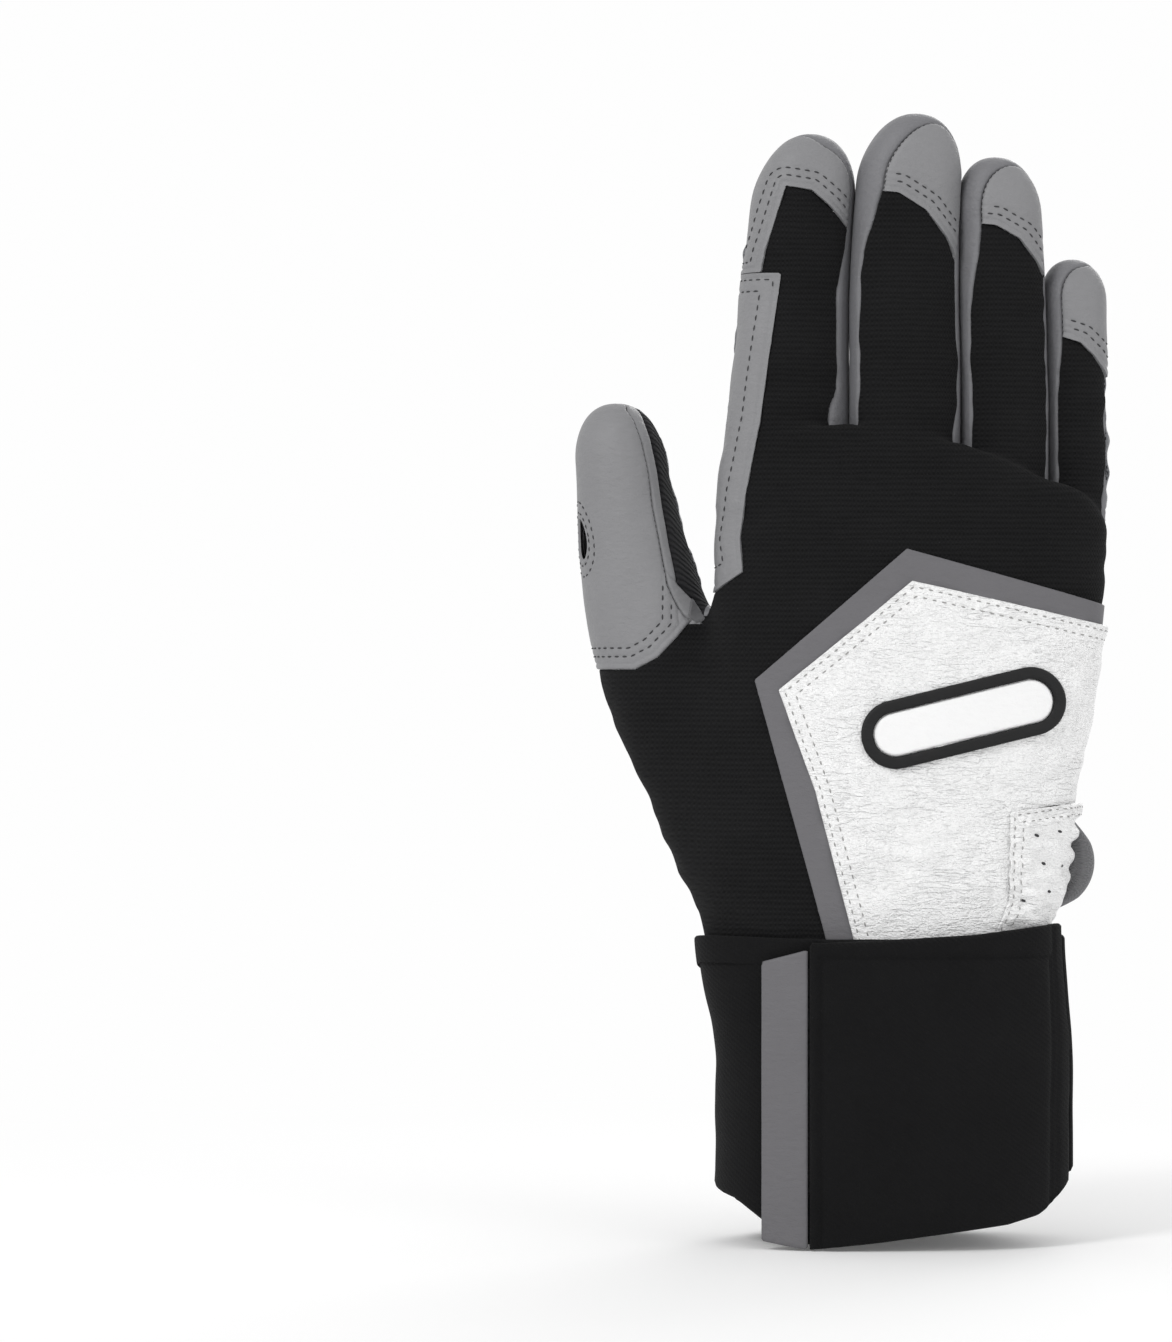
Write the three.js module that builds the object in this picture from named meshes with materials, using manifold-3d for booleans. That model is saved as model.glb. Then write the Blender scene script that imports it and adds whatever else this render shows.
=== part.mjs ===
// A right-hand batting glove with a long wrist cuff, filled out as on a hand and standing on its cuff.
// Millimetres, +Z up along the fingers. The back of the hand faces -Y, the palm +Y, the thumb -X.
// The origin is under the middle of the whole glove, on the surface the cuff stands on.
import * as THREE from "three";
import { mergeVertices } from "three/addons/utils/BufferGeometryUtils.js";
import Module from "manifold-3d";

const wasm = await Module();
wasm.setup();

// Driving sizes
const skin = 1.4; // thickness of the palm leather, the knit and the fourchettes
const seam = 0.35; // clearance between two pieces that are sewn together
const overlay = 0.9; // thickness of a patch sewn on top
const cuffHeight = 80;
const cuffWall = 3;
const cuffTuck = 14; // how far the glove body reaches down inside the cuff
const wristWidth = 79;
const wristDepth = 42;
const handLength = 118; // cuff top to the knuckle line
const palmDepth = 33; // front to back through the middle of the palm
const fingerGap = 1;
const fingerDepth = 20.5;
const fourchetteWidth = 10.5;
const thumbLength = 65; // thumb seam to the thumb tip
const thumbWidth = 27;
const thumbDepth = 25;
const stitchedHem = 6; // how far a fingertip cap overlaps the knit
const strapWall = 2.4;
const strapReach = 78; // from the ulnar edge to the free end, across the back
const tabWidth = 10;
const fastenerThickness = 0.9; // hook or loop tape
const fastenerWidth = 24;
const bindingHeight = 8; // turned band along the top of the cuff
const bindingWall = 0.8;
const elasticThickness = 0.8;
const ventWidth = 5; // hole in the outer side of the thumb
const ventHeight = 10;
const loopHeight = 24;
const loopStandOff = 9.8;
const loopWidth = 9;
const loopThickness = 1.8;
const badgeLength = 46;
const badgeHeight = 11;
const badgeRim = 3.2;
const badgeRise = 1.1;
const rimCorner = 15; // height of the rounded corner at each side of the cuff's lower edge

const indexWidth = 24.5;
const indexLength = 83.5; // knuckle line to tip, like the other finger lengths
const indexCap = 16; // length of the tip cap on the back, like the other cap lengths
const middleWidth = 25;
const middleLength = 90.5;
const middleCap = 26;
const ringWidth = 22;
const ringLength = 79.5;
const ringCap = 21;
const littleWidth = 18.5;
const littleLength = 64;
const littleCap = 22;

// Each finger leans away from the thumb by some degrees, and stands forward by a share of its depth
const fingers = [
  { name: "index", width: indexWidth, length: indexLength, capLength: indexCap, lean: 4.3, forwardShare: 0.05 },
  { name: "middle", width: middleWidth, length: middleLength, capLength: middleCap, lean: 3.8, forwardShare: -0.05 },
  { name: "ring", width: ringWidth, length: ringLength, capLength: ringCap, lean: 2.2, forwardShare: 0.1 },
  { name: "little", width: littleWidth, length: littleLength, capLength: littleCap, lean: 0.8, forwardShare: 0.3 },
];

// Worked out from the driving sizes
const degrees = Math.PI / 180;
const fingerTwist = 13 * degrees; // the finger pads face a little towards the thumb
const thumbTwist = -22 * degrees;
const capTilt = 32 * degrees; // the cap seam falls away from the thumb
const badgeTilt = 14 * degrees;
const knuckleSlope = 0.62; // rise of the knuckle cut towards the back, per unit of depth
const littleDropShare = 0.55; // the little finger starts lower, in shares of the finger depth
const knuckleWidth = fingers.reduce((sum, f) => sum + f.width, 0) + fingerGap * (fingers.length - 1);
const knuckleHalf = knuckleWidth / 2;
const knuckleCentreShare = 0.22;
const knuckleCentre = knuckleHalf * knuckleCentreShare;
const knuckleHeight = cuffHeight + handLength;
const farAway = 2 * (knuckleHeight + fingers[1].length); // one overrun that serves every cut
const ringPoints = 24;
const fingerPoints = 20;
const boxiness = 2.5; // exponent of the superellipse sections

const greyLeather = { color: 0x6f6f72, roughness: 0.62, metalness: 0 };
const smoothLeather = { color: 0x8a8a8c, roughness: 0.55, metalness: 0 };
const whiteLeather = { color: 0xf2f2f2, roughness: 0.5, metalness: 0 };
const blackKnit = { color: 0x1c1c1c, roughness: 0.9, metalness: 0 };
const blackCuff = { color: 0x191919, roughness: 0.95, metalness: 0 };
const greyTrim = { color: 0x6c6b6c, roughness: 0.6, metalness: 0 };
const hookTape = { color: 0x202022, roughness: 0.9, metalness: 0 };
const whiteRubber = { color: 0xf0f0f0, roughness: 0.4, metalness: 0 };
const blackRubber = { color: 0x161616, roughness: 0.5, metalness: 0 };

const part = new THREE.Group();

// Solids and meshes
function solidOf(geometry) {
  const bare = geometry.index ? geometry.toNonIndexed() : geometry.clone();
  bare.deleteAttribute("normal");
  bare.deleteAttribute("uv");
  const merged = mergeVertices(bare, 1e-4);
  return new wasm.Manifold(
    new wasm.Mesh({
      numProp: 3,
      vertProperties: merged.attributes.position.array,
      triVerts: new Uint32Array(merged.index.array),
    }),
  );
}

function geometryOf(solid) {
  const mesh = solid.getMesh();
  const geometry = new THREE.BufferGeometry();
  geometry.setAttribute("position", new THREE.BufferAttribute(mesh.vertProperties, 3));
  geometry.setIndex(new THREE.BufferAttribute(mesh.triVerts, 1));
  return geometry;
}

function largest(solid) {
  return solid.decompose().sort((a, b) => b.volume() - a.volume())[0];
}

function addPiece(name, solid, finish) {
  const mesh = new THREE.Mesh(geometryOf(largest(solid)), new THREE.MeshStandardMaterial(finish));
  mesh.name = name;
  part.add(mesh);
}

function unite(solids) {
  return solids.reduce((whole, solid) => whole.add(solid));
}

// One ring of a superellipse section, turned by twist about its own centre
function sectionRing(count, halfWidth, halfDepth, twist) {
  const ring = [];
  for (let i = 0; i < count; i++) {
    const angle = (2 * Math.PI * i) / count;
    const c = Math.cos(angle);
    const s = Math.sin(angle);
    const x = Math.sign(c) * Math.abs(c) ** (2 / boxiness) * halfWidth;
    const y = Math.sign(s) * Math.abs(s) ** (2 / boxiness) * halfDepth;
    ring.push([x * Math.cos(twist) - y * Math.sin(twist), x * Math.sin(twist) + y * Math.cos(twist)]);
  }
  return ring;
}

// A closed solid through rings of points, with a flat fan at each end
function loftThrough(rings) {
  const count = rings[0].length;
  const positions = rings.flat().flatMap((p) => [p.x, p.y, p.z]);
  const faces = [];
  for (let r = 0; r + 1 < rings.length; r++) {
    for (let i = 0; i < count; i++) {
      const a = r * count + i;
      const b = r * count + ((i + 1) % count);
      faces.push(a, b, b + count, a, b + count, a + count);
    }
  }
  for (const [ring, first, outward] of [[rings[0], 0, false], [rings.at(-1), (rings.length - 1) * count, true]]) {
    const middle = ring.reduce((sum, p) => sum.add(p), new THREE.Vector3()).divideScalar(count);
    const hub = positions.length / 3;
    positions.push(middle.x, middle.y, middle.z);
    for (let i = 0; i < count; i++) {
      const a = first + i;
      const b = first + ((i + 1) % count);
      faces.push(...(outward ? [a, b, hub] : [b, a, hub]));
    }
  }
  const geometry = new THREE.BufferGeometry();
  geometry.setAttribute("position", new THREE.BufferAttribute(new Float32Array(positions), 3));
  geometry.setIndex(faces);
  return solidOf(geometry);
}

// A block that fills everything on the +Z side of a plane, set in a frame
function blockAbove(frame, height = 0) {
  const block = new THREE.BoxGeometry(farAway, farAway, farAway);
  block.translate(0, 0, farAway / 2 + height);
  return solidOf(block.applyMatrix4(frame));
}

// A block between two heights along Y of a frame
function slabAcross(frame, low, high) {
  const slab = new THREE.BoxGeometry(farAway, high - low, farAway);
  slab.translate(0, (low + high) / 2, 0);
  return solidOf(slab.applyMatrix4(frame));
}

// A block on one side of X = 0 of a frame, kept half a seam clear of it
function sideBlock(frame, side) {
  const block = new THREE.BoxGeometry(farAway, farAway, farAway);
  block.translate(side * (farAway / 2 + seam / 2), 0, 0);
  return solidOf(block.applyMatrix4(frame));
}

// A prism that runs along Y from low to high, with its outline in X and Z
function prismAlongY(outline, low, high) {
  const shape = new THREE.Shape(outline.map(([x, z]) => new THREE.Vector2(x, z)));
  const prism = new THREE.ExtrudeGeometry(shape, { depth: high - low, bevelEnabled: false, curveSegments: 8 });
  prism.rotateX(Math.PI / 2);
  prism.translate(0, high, 0);
  return solidOf(prism);
}

// A prism that runs up from low to high, with its outline in X and Y
function prismAlongZ(outline, low, high) {
  const shape = new THREE.Shape(outline.map(([x, y]) => new THREE.Vector2(x, y)));
  const prism = new THREE.ExtrudeGeometry(shape, { depth: high - low, bevelEnabled: false });
  prism.translate(0, 0, low);
  return solidOf(prism);
}

// Places on the hand: across in shares of half the knuckle width, up in shares of the hand length
function onHand(pointShares) {
  return pointShares.map(([u, v]) => [knuckleCentre + u * knuckleHalf, cuffHeight + v * handLength]);
}

// The glove body, grown by offset on every side.
// Each station share is: height, centre across, half width, half depth.
const handStationShares = [
  [0.13, 0.01, 0.955, 1.2],
  [0.3, 0.02, 1.0, 1.12],
  [0.5, 0.07, 1.035, 1.06],
  [0.7, 0.14, 1.045, 1.0],
  [0.87, 0.19, 1.01, 0.92],
];
const webDepthShare = 0.8;

const rimRunShare = 0.24; // how far in from each side the cuff's lower corners start
const strapRootShare = 0.16;
const strapRootFrontShare = 0.3;

// The wrist under the cuff, straight below and flared at the cuff's top.
// Each share is: height, width, centre across.
const wristStationShares = [
  [0, 0.98, 0],
  [0.55, 0.98, 0],
  [1, 1.06, -0.06],
];
function wristAt(z) {
  const height = z / cuffHeight;
  const i = height > wristStationShares[1][0] ? 1 : 0;
  const [h0, w0, c0] = wristStationShares[i];
  const [h1, w1, c1] = wristStationShares[i + 1];
  const t = (height - h0) / (h1 - h0);
  return { width: w0 + (w1 - w0) * t, centre: c0 + (c1 - c0) * t };
}

function wristRing(z, offset) {
  const { width, centre } = wristAt(z);
  return sectionRing(ringPoints, (wristWidth / 2) * width + offset, wristDepth / 2 + offset, 0).map(
    ([x, y]) => new THREE.Vector3(x + (wristWidth / 2) * centre, y, z),
  );
}

function bodyRings(offset, bottom, topDrop) {
  const rings = [];
  rings.push(wristRing(bottom, offset), wristRing(cuffHeight, offset));
  for (const [height, centre, width, depth] of handStationShares) {
    rings.push(
      sectionRing(ringPoints, knuckleHalf * width + offset, (palmDepth / 2) * depth + offset, 0).map(
        ([x, y]) => new THREE.Vector3(x + knuckleHalf * centre, y, cuffHeight + handLength * height),
      ),
    );
  }
  rings.push(
    sectionRing(ringPoints, knuckleHalf + offset, (palmDepth / 2) * webDepthShare + offset, 0).map(
      ([x, y]) => new THREE.Vector3(x + knuckleCentre, y, knuckleHeight - topDrop - knuckleSlope * y),
    ),
  );
  return rings;
}

// Finger stalls
const fingerStationShares = [
  [-0.3, 0.97],
  [0, 1],
  [0.3, 0.99],
  [0.55, 0.965],
  [0.78, 0.93],
];
const domeAngles = [28, 52, 72, 86];
const domeHeightShare = 0.52; // of the finger width
let edge = knuckleCentre - knuckleHalf;
for (const finger of fingers) {
  finger.centre = edge + finger.width / 2;
  edge += finger.width + fingerGap;
  finger.base = knuckleHeight - (finger.name === "little" ? fingerDepth * littleDropShare : 0);
  finger.forward = fingerDepth * finger.forwardShare;
  finger.frame = new THREE.Matrix4()
    .makeTranslation(finger.centre, finger.forward, finger.base)
    .multiply(new THREE.Matrix4().makeRotationY(finger.lean * degrees))
    .multiply(new THREE.Matrix4().makeRotationZ(fingerTwist));
}

function fingerSolid(finger, offset) {
  const half = finger.width / 2;
  const domeHeight = finger.width * domeHeightShare;
  const shoulder = finger.length - domeHeight;
  const ringAt = (z, share) =>
    sectionRing(fingerPoints, half * share + offset, (fingerDepth / 2) * share + offset, 0).map(([x, y]) =>
      new THREE.Vector3(x, y, z).applyMatrix4(finger.frame),
    );
  const rings = fingerStationShares.map(([height, share]) => ringAt(height * finger.length, share));
  const tipShare = fingerStationShares.at(-1)[1];
  for (const angle of domeAngles) {
    const out = Math.cos(angle * degrees);
    const up = Math.sin(angle * degrees);
    rings.push(
      sectionRing(fingerPoints, (half * tipShare + offset) * out, ((fingerDepth / 2) * tipShare + offset) * out, 0).map(
        ([x, y]) => new THREE.Vector3(x, y, shoulder + (domeHeight + offset) * up).applyMatrix4(finger.frame),
      ),
    );
  }
  return loftThrough(rings);
}

// The plane where a finger leaves the hand, hinged at its palm edge
function knucklePlane(finger) {
  return new THREE.Matrix4()
    .makeTranslation(finger.centre, finger.forward + fingerDepth / 2 + skin, finger.base)
    .multiply(new THREE.Matrix4().makeRotationX(-Math.atan(knuckleSlope)));
}

// The thumb follows a curve from the heel of the hand. Each station is a share of the hand length or the half width.
const thumbRouteShares = [
  { across: -0.62, forward: 0.08, up: 0.06, width: 1.46, depth: 1.16 },
  { across: -0.82, forward: 0.2, up: 0.2, width: 1.46, depth: 1.34 },
  { across: -1.08, forward: 0.34, up: 0.42, width: 1.36, depth: 1.34 },
  { across: -1.23, forward: 0.43, up: 0.59, width: 1.26, depth: 1.2 },
];
const thumbSeamShares = { across: -0.97, up: 0.69, fall: 0.5 };
const thumbLeanShare = 0.19;
const thumbForwardShare = 0.06;
const thumbBandShare = 0.42; // width of the side strips, of the thumb's depth
const ventPlaceShare = 0.36;
const thumbStationShares = [
  [0.3, 1.08],
  [0.62, 0.95],
];

function thumbSolid(offset) {
  const points = thumbRouteShares.map(
    (s) => new THREE.Vector3(knuckleHalf * s.across, palmDepth * s.forward, cuffHeight + handLength * s.up),
  );
  const rings = [];
  const addRing = (centre, halfWidth, halfDepth, lean) => {
    const turn = new THREE.Matrix4().makeRotationY(-lean);
    rings.push(
      sectionRing(fingerPoints, halfWidth, halfDepth, thumbTwist).map(([x, y]) =>
        new THREE.Vector3(x, y, 0).applyMatrix4(turn).add(centre),
      ),
    );
  };
  thumbRouteShares.forEach((s, i) => {
    const next = points[i + 1];
    const lean = next ? Math.atan2(points[i].x - next.x, next.z - points[i].z) : Math.atan(thumbLeanShare);
    addRing(points[i], (thumbWidth / 2) * s.width + offset, (thumbDepth / 2) * s.depth + offset, lean);
  });
  const along = (distance) =>
    new THREE.Vector3(-thumbLeanShare * distance, thumbForwardShare * distance, distance).add(points.at(-1));
  const domeHeight = thumbWidth * domeHeightShare;
  const lean = Math.atan(thumbLeanShare);
  for (const [height, share] of thumbStationShares) {
    addRing(along(height * thumbLength), (thumbWidth / 2) * share + offset, (thumbDepth / 2) * share + offset, lean);
  }
  const tipShare = thumbStationShares.at(-1)[1];
  for (const angle of domeAngles) {
    const out = Math.cos(angle * degrees) * tipShare;
    const up = Math.sin(angle * degrees);
    const centre = along(thumbLength - domeHeight + (domeHeight + offset) * up);
    addRing(centre, (thumbWidth / 2 + offset) * out, (thumbDepth / 2 + offset) * out, lean);
  }
  return loftThrough(rings).intersect(blockAbove(new THREE.Matrix4(), cuffHeight + seam - Math.min(offset, 0)));
}

// Everything on the thumb's side of its seam, grown downwards by clearance
function thumbRegion(clearance) {
  const x = knuckleHalf * thumbSeamShares.across;
  const z = cuffHeight + handLength * thumbSeamShares.up - clearance;
  const far = farAway / 2;
  const outline = [
    [x + clearance, z],
    [x + clearance, z + far],
    [x - far, z + far],
    [x - far, z - far * thumbSeamShares.fall],
  ];
  return prismAlongY(outline, -far, far);
}

// The whole glove without its cuff, at an offset from its outer face
const wholeCache = new Map();
function whole(offset) {
  if (!wholeCache.has(offset)) {
    const bottom = cuffHeight - cuffTuck;
    const body = loftThrough(bodyRings(offset, bottom, offset < 0 ? -offset : 0));
    wholeCache.set(offset, unite([body, thumbSolid(offset), ...fingers.map((f) => fingerSolid(f, offset))]));
  }
  return wholeCache.get(offset);
}

// Inner space, open at the wrist
function insideSpace(depth) {
  const open = loftThrough(bodyRings(-depth, cuffHeight - cuffTuck - depth, depth));
  return unite([open, thumbSolid(-depth), ...fingers.map((f) => fingerSolid(f, -depth))]);
}

const inner = insideSpace(skin);
const skinShell = whole(0).subtract(inner);

// The hand keeps what is below each knuckle plane and outside the thumb's region
function stripStalls(shell) {
  let left = shell;
  for (const finger of fingers) {
    const clear = blockAbove(knucklePlane(finger), -seam);
    left = left.subtract(fingerSolid(finger, overlay + 2 * seam).intersect(clear));
  }
  return left.subtract(thumbSolid(overlay + 2 * seam).intersect(thumbRegion(seam)));
}

const handShell = stripStalls(skinShell);

// Where the palm leather meets the back, and the outlines of the pieces on the hand, as shares for onHand
const sideSeamShare = 0.06;
const sideSeam = palmDepth * sideSeamShare;
const beyond = 3; // an outline share well past the edge of the hand
const palmOutlineShares = [
  [-0.86, -0.5],
  [-0.93, -0.02],
  [-1.82, 0.56],
  [-beyond, 0.66],
  [-beyond, beyond],
  [beyond, beyond],
  [beyond, -0.5],
];
const sidePanelShares = [
  [-beyond, 0.66],
  [-1.15, 0.7],
  [-1.0, 0.82],
  [-0.94, 0.97],
  [-0.92, 1.5],
  [-beyond, 1.5],
];
const gussetShares = [
  [-1.6, 0.66],
  [-1.1, 0.63],
  [-0.98, 0.72],
  [-1.04, 0.84],
  [-1.6, 0.96],
];
const backPatchShares = [
  [-0.816, 0.477],
  [-0.064, 0.74],
  [1.2, 0.605],
  [beyond, 0.5],
  [beyond, 0],
  [-0.414, 0],
];
const underlayShares = [
  [-0.912, 0.519],
  [-0.129, 0.81],
  [1.2, 0.651],
  [beyond, 0.55],
  [beyond, 0],
  [-0.581, 0],
];
const gatherPanelShares = [
  [0.42, 0.245],
  [1.2, 0.262],
  [beyond, 0.2],
  [beyond, 0],
  [0.5, 0],
  [0.46, 0.06],
];
const heelPatchShares = [
  [beyond, 0.5],
  [1.05, 0.585],
  [0.131, 0.673],
  [-0.05, 0.68],
  [-0.18, 0.65],
  [-0.235, 0.595],
  [-0.19, 0.53],
  [0.2, 0.375],
  [0.1, 0.23],
  [0.01, 0.133],
  [0.045, 0],
  [beyond, 0],
];

const far = farAway / 2;
const aboveCuff = blockAbove(new THREE.Matrix4(), cuffHeight + seam);
const palmRegion = prismAlongY(onHand(palmOutlineShares), sideSeam, far);
const palmRegionGrown = prismAlongY(
  onHand(palmOutlineShares).map(([x, z]) => [x - seam, z]),
  sideSeam - seam,
  far,
);
const gussetRegion = prismAlongY(onHand(gussetShares), sideSeam + seam, far);
const gussetGrown = prismAlongY(
  onHand(gussetShares).map(([x, z], i) => [x + seam, z + (i < 2 ? -seam : seam)]),
  sideSeam,
  far,
);
const sideRegion = prismAlongY(onHand(sidePanelShares), -far, sideSeam - seam);
const sideGrown = prismAlongY(
  onHand(sidePanelShares).map(([x, z]) => [x + seam, z - seam]),
  -far,
  sideSeam,
);

addPiece("palm_leather", handShell.intersect(palmRegion).subtract(gussetGrown), greyLeather);
addPiece("hand_back_knit", handShell.subtract(palmRegionGrown).subtract(sideGrown), blackKnit);
addPiece("index_side_wrap", handShell.intersect(sideRegion), smoothLeather);
addPiece("thumb_web_gusset", handShell.intersect(gussetRegion), smoothLeather);

// Patches sewn on top of the hand, each between two offsets of the glove body
function patch(outline, low, high, from, to) {
  const sheet = whole(high).subtract(whole(low));
  return stripStalls(sheet.intersect(prismAlongY(outline, from, to)).intersect(aboveCuff));
}

const underlayTop = seam + overlay;
const patchTop = underlayTop + seam + overlay;
const gatherTop = patchTop + seam + overlay;
const ulnarSeam = sideSeam - seam;

// The patches leave room at the ulnar edge for the pull loop and its swing
const loopFoot = cuffHeight + seam + loopThickness;
const loopRoomShare = 0.95;
const loopSide = loopRoomShare * loopWidth;
const loopRoom = prismAlongZ(
  [[0, -loopSide], [far, -loopSide], [far, far], [0, far]],
  cuffHeight,
  loopFoot + loopHeight + loopThickness,
);
function backPatch(shares, low, high) {
  return patch(onHand(shares), low, high, -far, ulnarSeam).subtract(loopRoom);
}
addPiece("back_patch_underlay", backPatch(underlayShares, seam, underlayTop), greyTrim);
addPiece("back_patch", backPatch(backPatchShares, underlayTop + seam, patchTop), whiteLeather);
addPiece("wrist_gather_panel", backPatch(gatherPanelShares, patchTop + seam, gatherTop), whiteLeather);
addPiece("palm_heel_patch", patch(onHand(heelPatchShares), seam, underlayTop, sideSeam, far), whiteLeather);

// A plain raised bar on the back patch, a white face inside a black rim
const badgePlaceShares = [[0.16, 0.46]];
function badgeOutline(grow) {
  const [[x, z]] = onHand(badgePlaceShares);
  const radius = badgeHeight / 2 + grow;
  const straight = (badgeLength - badgeHeight) / 2;
  const points = [];
  const arcSteps = 8;
  for (const side of [1, -1]) {
    for (let i = 0; i <= arcSteps; i++) {
      const angle = side * 90 * degrees - (180 * degrees * i) / arcSteps;
      points.push([side * straight + radius * Math.cos(angle), radius * Math.sin(angle)]);
    }
  }
  const c = Math.cos(badgeTilt);
  const s = Math.sin(badgeTilt);
  return points.map(([px, pz]) => [x + px * c - pz * s, z + px * s + pz * c]).reverse();
}
const badgeBase = patchTop + seam;
const badgeSheet = patch(badgeOutline(badgeRim), badgeBase, badgeBase + badgeRise, -far, ulnarSeam);
const badgeHole = prismAlongY(badgeOutline(seam), -far, ulnarSeam);
addPiece("badge_rim", badgeSheet.subtract(badgeHole), blackRubber);
addPiece("badge_face", patch(badgeOutline(0), badgeBase, badgeBase + badgeRise, -far, ulnarSeam), whiteRubber);

// Elastic sewn inside the wrist, behind the gathers
const elasticShares = [
  [0.5, 0.2],
  [beyond, 0.2],
  [beyond, 0.06],
  [0.5, 0.06],
];
const elasticTop = -skin - seam;
addPiece("wrist_elastic", patch(onHand(elasticShares), elasticTop - elasticThickness, elasticTop, -far, ulnarSeam), blackCuff);

// Fingers: palm side, back knit, tip cap and two fourchettes, which meet over the tip.
// On the outer side of the little finger the palm side and the knit are sewn straight together.
for (const finger of fingers) {
  const stall = fingerSolid(finger, 0).subtract(fingerSolid(finger, -skin));
  const above = blockAbove(knucklePlane(finger));
  const shell = stall.intersect(above);
  const half = fourchetteWidth / 2;
  const outerSide = sideBlock(finger.frame, 1);
  const isLittle = finger.name === "little";
  let front = slabAcross(finger.frame, half + seam / 2, far);
  let back = slabAcross(finger.frame, -far, -half - seam / 2);
  if (isLittle) {
    front = front.add(slabAcross(finger.frame, seam / 2, far).intersect(outerSide));
    back = back.add(slabAcross(finger.frame, -far, -seam / 2).intersect(outerSide));
  }
  const band = slabAcross(finger.frame, -half + seam / 2, half - seam / 2);
  const capLine = finger.length - finger.capLength;
  const capFrame = finger.frame
    .clone()
    .multiply(new THREE.Matrix4().makeTranslation(0, 0, capLine))
    .multiply(new THREE.Matrix4().makeRotationY(capTilt));
  const aboveCap = blockAbove(capFrame);
  const raised = fingerSolid(finger, overlay).subtract(fingerSolid(finger, seam));
  const capOver = raised.intersect(back).intersect(blockAbove(capFrame, -stitchedHem));
  const capTop = fingerSolid(finger, overlay).subtract(fingerSolid(finger, -skin)).intersect(back);
  addPiece(`${finger.name}_palm_side`, shell.intersect(front), greyLeather);
  addPiece(`${finger.name}_back_knit`, shell.intersect(back).subtract(blockAbove(capFrame, -seam)), blackKnit);
  addPiece(`${finger.name}_tip_cap`, capTop.intersect(aboveCap).add(capOver), smoothLeather);
  const thumbSide = finger.name === "index" ? "index_outer_side" : `${finger.name}_thumb_side_fourchette`;
  addPiece(thumbSide, shell.intersect(band).intersect(sideBlock(finger.frame, -1)), smoothLeather);
  if (!isLittle) {
    addPiece(`${finger.name}_little_side_fourchette`, shell.intersect(band).intersect(outerSide), smoothLeather);
  }
}

// Thumb: palm side, back leather, ribbed inner strip, and an outer strip with its vent
const thumbBand = thumbDepth * thumbBandShare;
const thumbShell = thumbSolid(0).subtract(thumbSolid(-skin)).intersect(thumbRegion(0));
const thumbStart = thumbRouteShares.at(-1);
const thumbFrame = new THREE.Matrix4()
  .makeTranslation(knuckleHalf * thumbStart.across, palmDepth * thumbStart.forward, cuffHeight + handLength * thumbStart.up)
  .multiply(new THREE.Matrix4().makeRotationY(-Math.atan(thumbLeanShare)))
  .multiply(new THREE.Matrix4().makeRotationX(-Math.atan(thumbForwardShare)))
  .multiply(new THREE.Matrix4().makeRotationZ(thumbTwist));
const thumbFront = slabAcross(thumbFrame, thumbBand / 2 + seam / 2, far);
const thumbBack = slabAcross(thumbFrame, -far, -thumbBand / 2 - seam / 2);
const thumbSides = slabAcross(thumbFrame, -thumbBand / 2 + seam / 2, thumbBand / 2 - seam / 2);
const ventRadius = ventWidth / 2;
const vent = new THREE.CylinderGeometry(ventRadius, ventRadius, thumbWidth, 12);
vent.rotateZ(Math.PI / 2);
vent.scale(1, 1, ventHeight / ventWidth);
vent.translate(-thumbWidth / 2, 0, thumbLength * ventPlaceShare);
const ventHole = solidOf(vent.applyMatrix4(thumbFrame));
const thumbOuter = thumbShell.intersect(thumbSides).intersect(sideBlock(thumbFrame, -1));
addPiece("thumb_palm_side", thumbShell.intersect(thumbFront), greyLeather);
addPiece("thumb_back_leather", thumbShell.intersect(thumbBack), smoothLeather);
addPiece("thumb_inner_strip", thumbShell.intersect(thumbSides).intersect(sideBlock(thumbFrame, 1)), blackKnit);
addPiece("thumb_outer_strip", thumbOuter.subtract(ventHole), smoothLeather);

// Cuff
function cuffSolid(offset, bottom, top) {
  const bend = cuffHeight * wristStationShares[1][0];
  const levels = [bottom, bend, top].filter((z, i) => i !== 1 || (z > bottom && z < top));
  return loftThrough(levels.map((z) => wristRing(z, offset)));
}

function cuffShell(low, high, bottom, top) {
  return cuffSolid(high, bottom, top).subtract(cuffSolid(low, bottom - seam, top + seam));
}

// Rounds off the lower corners of whatever wraps the wrist
const cuffOuter = seam + cuffWall;
const rimRun = wristWidth * rimRunShare;
function rimCorners(reach) {
  const outline = [];
  const steps = 6;
  const edgeX = (wristWidth / 2) * wristStationShares[0][1] + reach;
  for (let i = 0; i <= steps; i++) {
    const angle = (90 * degrees * i) / steps;
    outline.push([edgeX - rimRun + rimRun * Math.sin(angle), rimCorner * (1 - Math.cos(angle))]);
  }
  outline.push([edgeX + reach * 2, rimCorner], [edgeX + reach * 2, -reach], [edgeX - rimRun, -reach]);
  const right = prismAlongY(outline.reverse(), -far, far);
  return right.add(right.mirror([1, 0, 0]));
}
const cuffCorners = rimCorners(cuffOuter);
addPiece("cuff_sleeve", cuffShell(seam, cuffOuter, 0, cuffHeight).subtract(cuffCorners), blackCuff);
const bindingLow = cuffHeight - bindingHeight;

// Strap: wraps the back of the cuff from the ulnar edge to its free end
const layerGap = seam;
const strapLow = cuffOuter + layerGap + fastenerThickness * 2 + layerGap * 2;
const strapHigh = strapLow + strapWall;
const strapEndX = wristWidth / 2 + strapHigh - strapReach;
const strapBodyEnd = strapEndX + tabWidth;
const strapRootY = -wristDepth * strapRootShare;
const strapRootFront = wristDepth * strapRootFrontShare;
const strapTop = cuffHeight - seam;
const backSide = (startX, endX) => prismAlongY(
  [[startX, -far], [endX, -far], [endX, far], [startX, far]],
  -far,
  strapRootY,
);
const strapSheet = cuffShell(strapLow, strapHigh, 0, strapTop).subtract(cuffCorners);
addPiece("strap_band", strapSheet.intersect(backSide(strapBodyEnd + seam, far)), blackCuff);
addPiece("strap_pull_tab", strapSheet.intersect(backSide(strapEndX, strapBodyEnd)), greyTrim);
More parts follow.
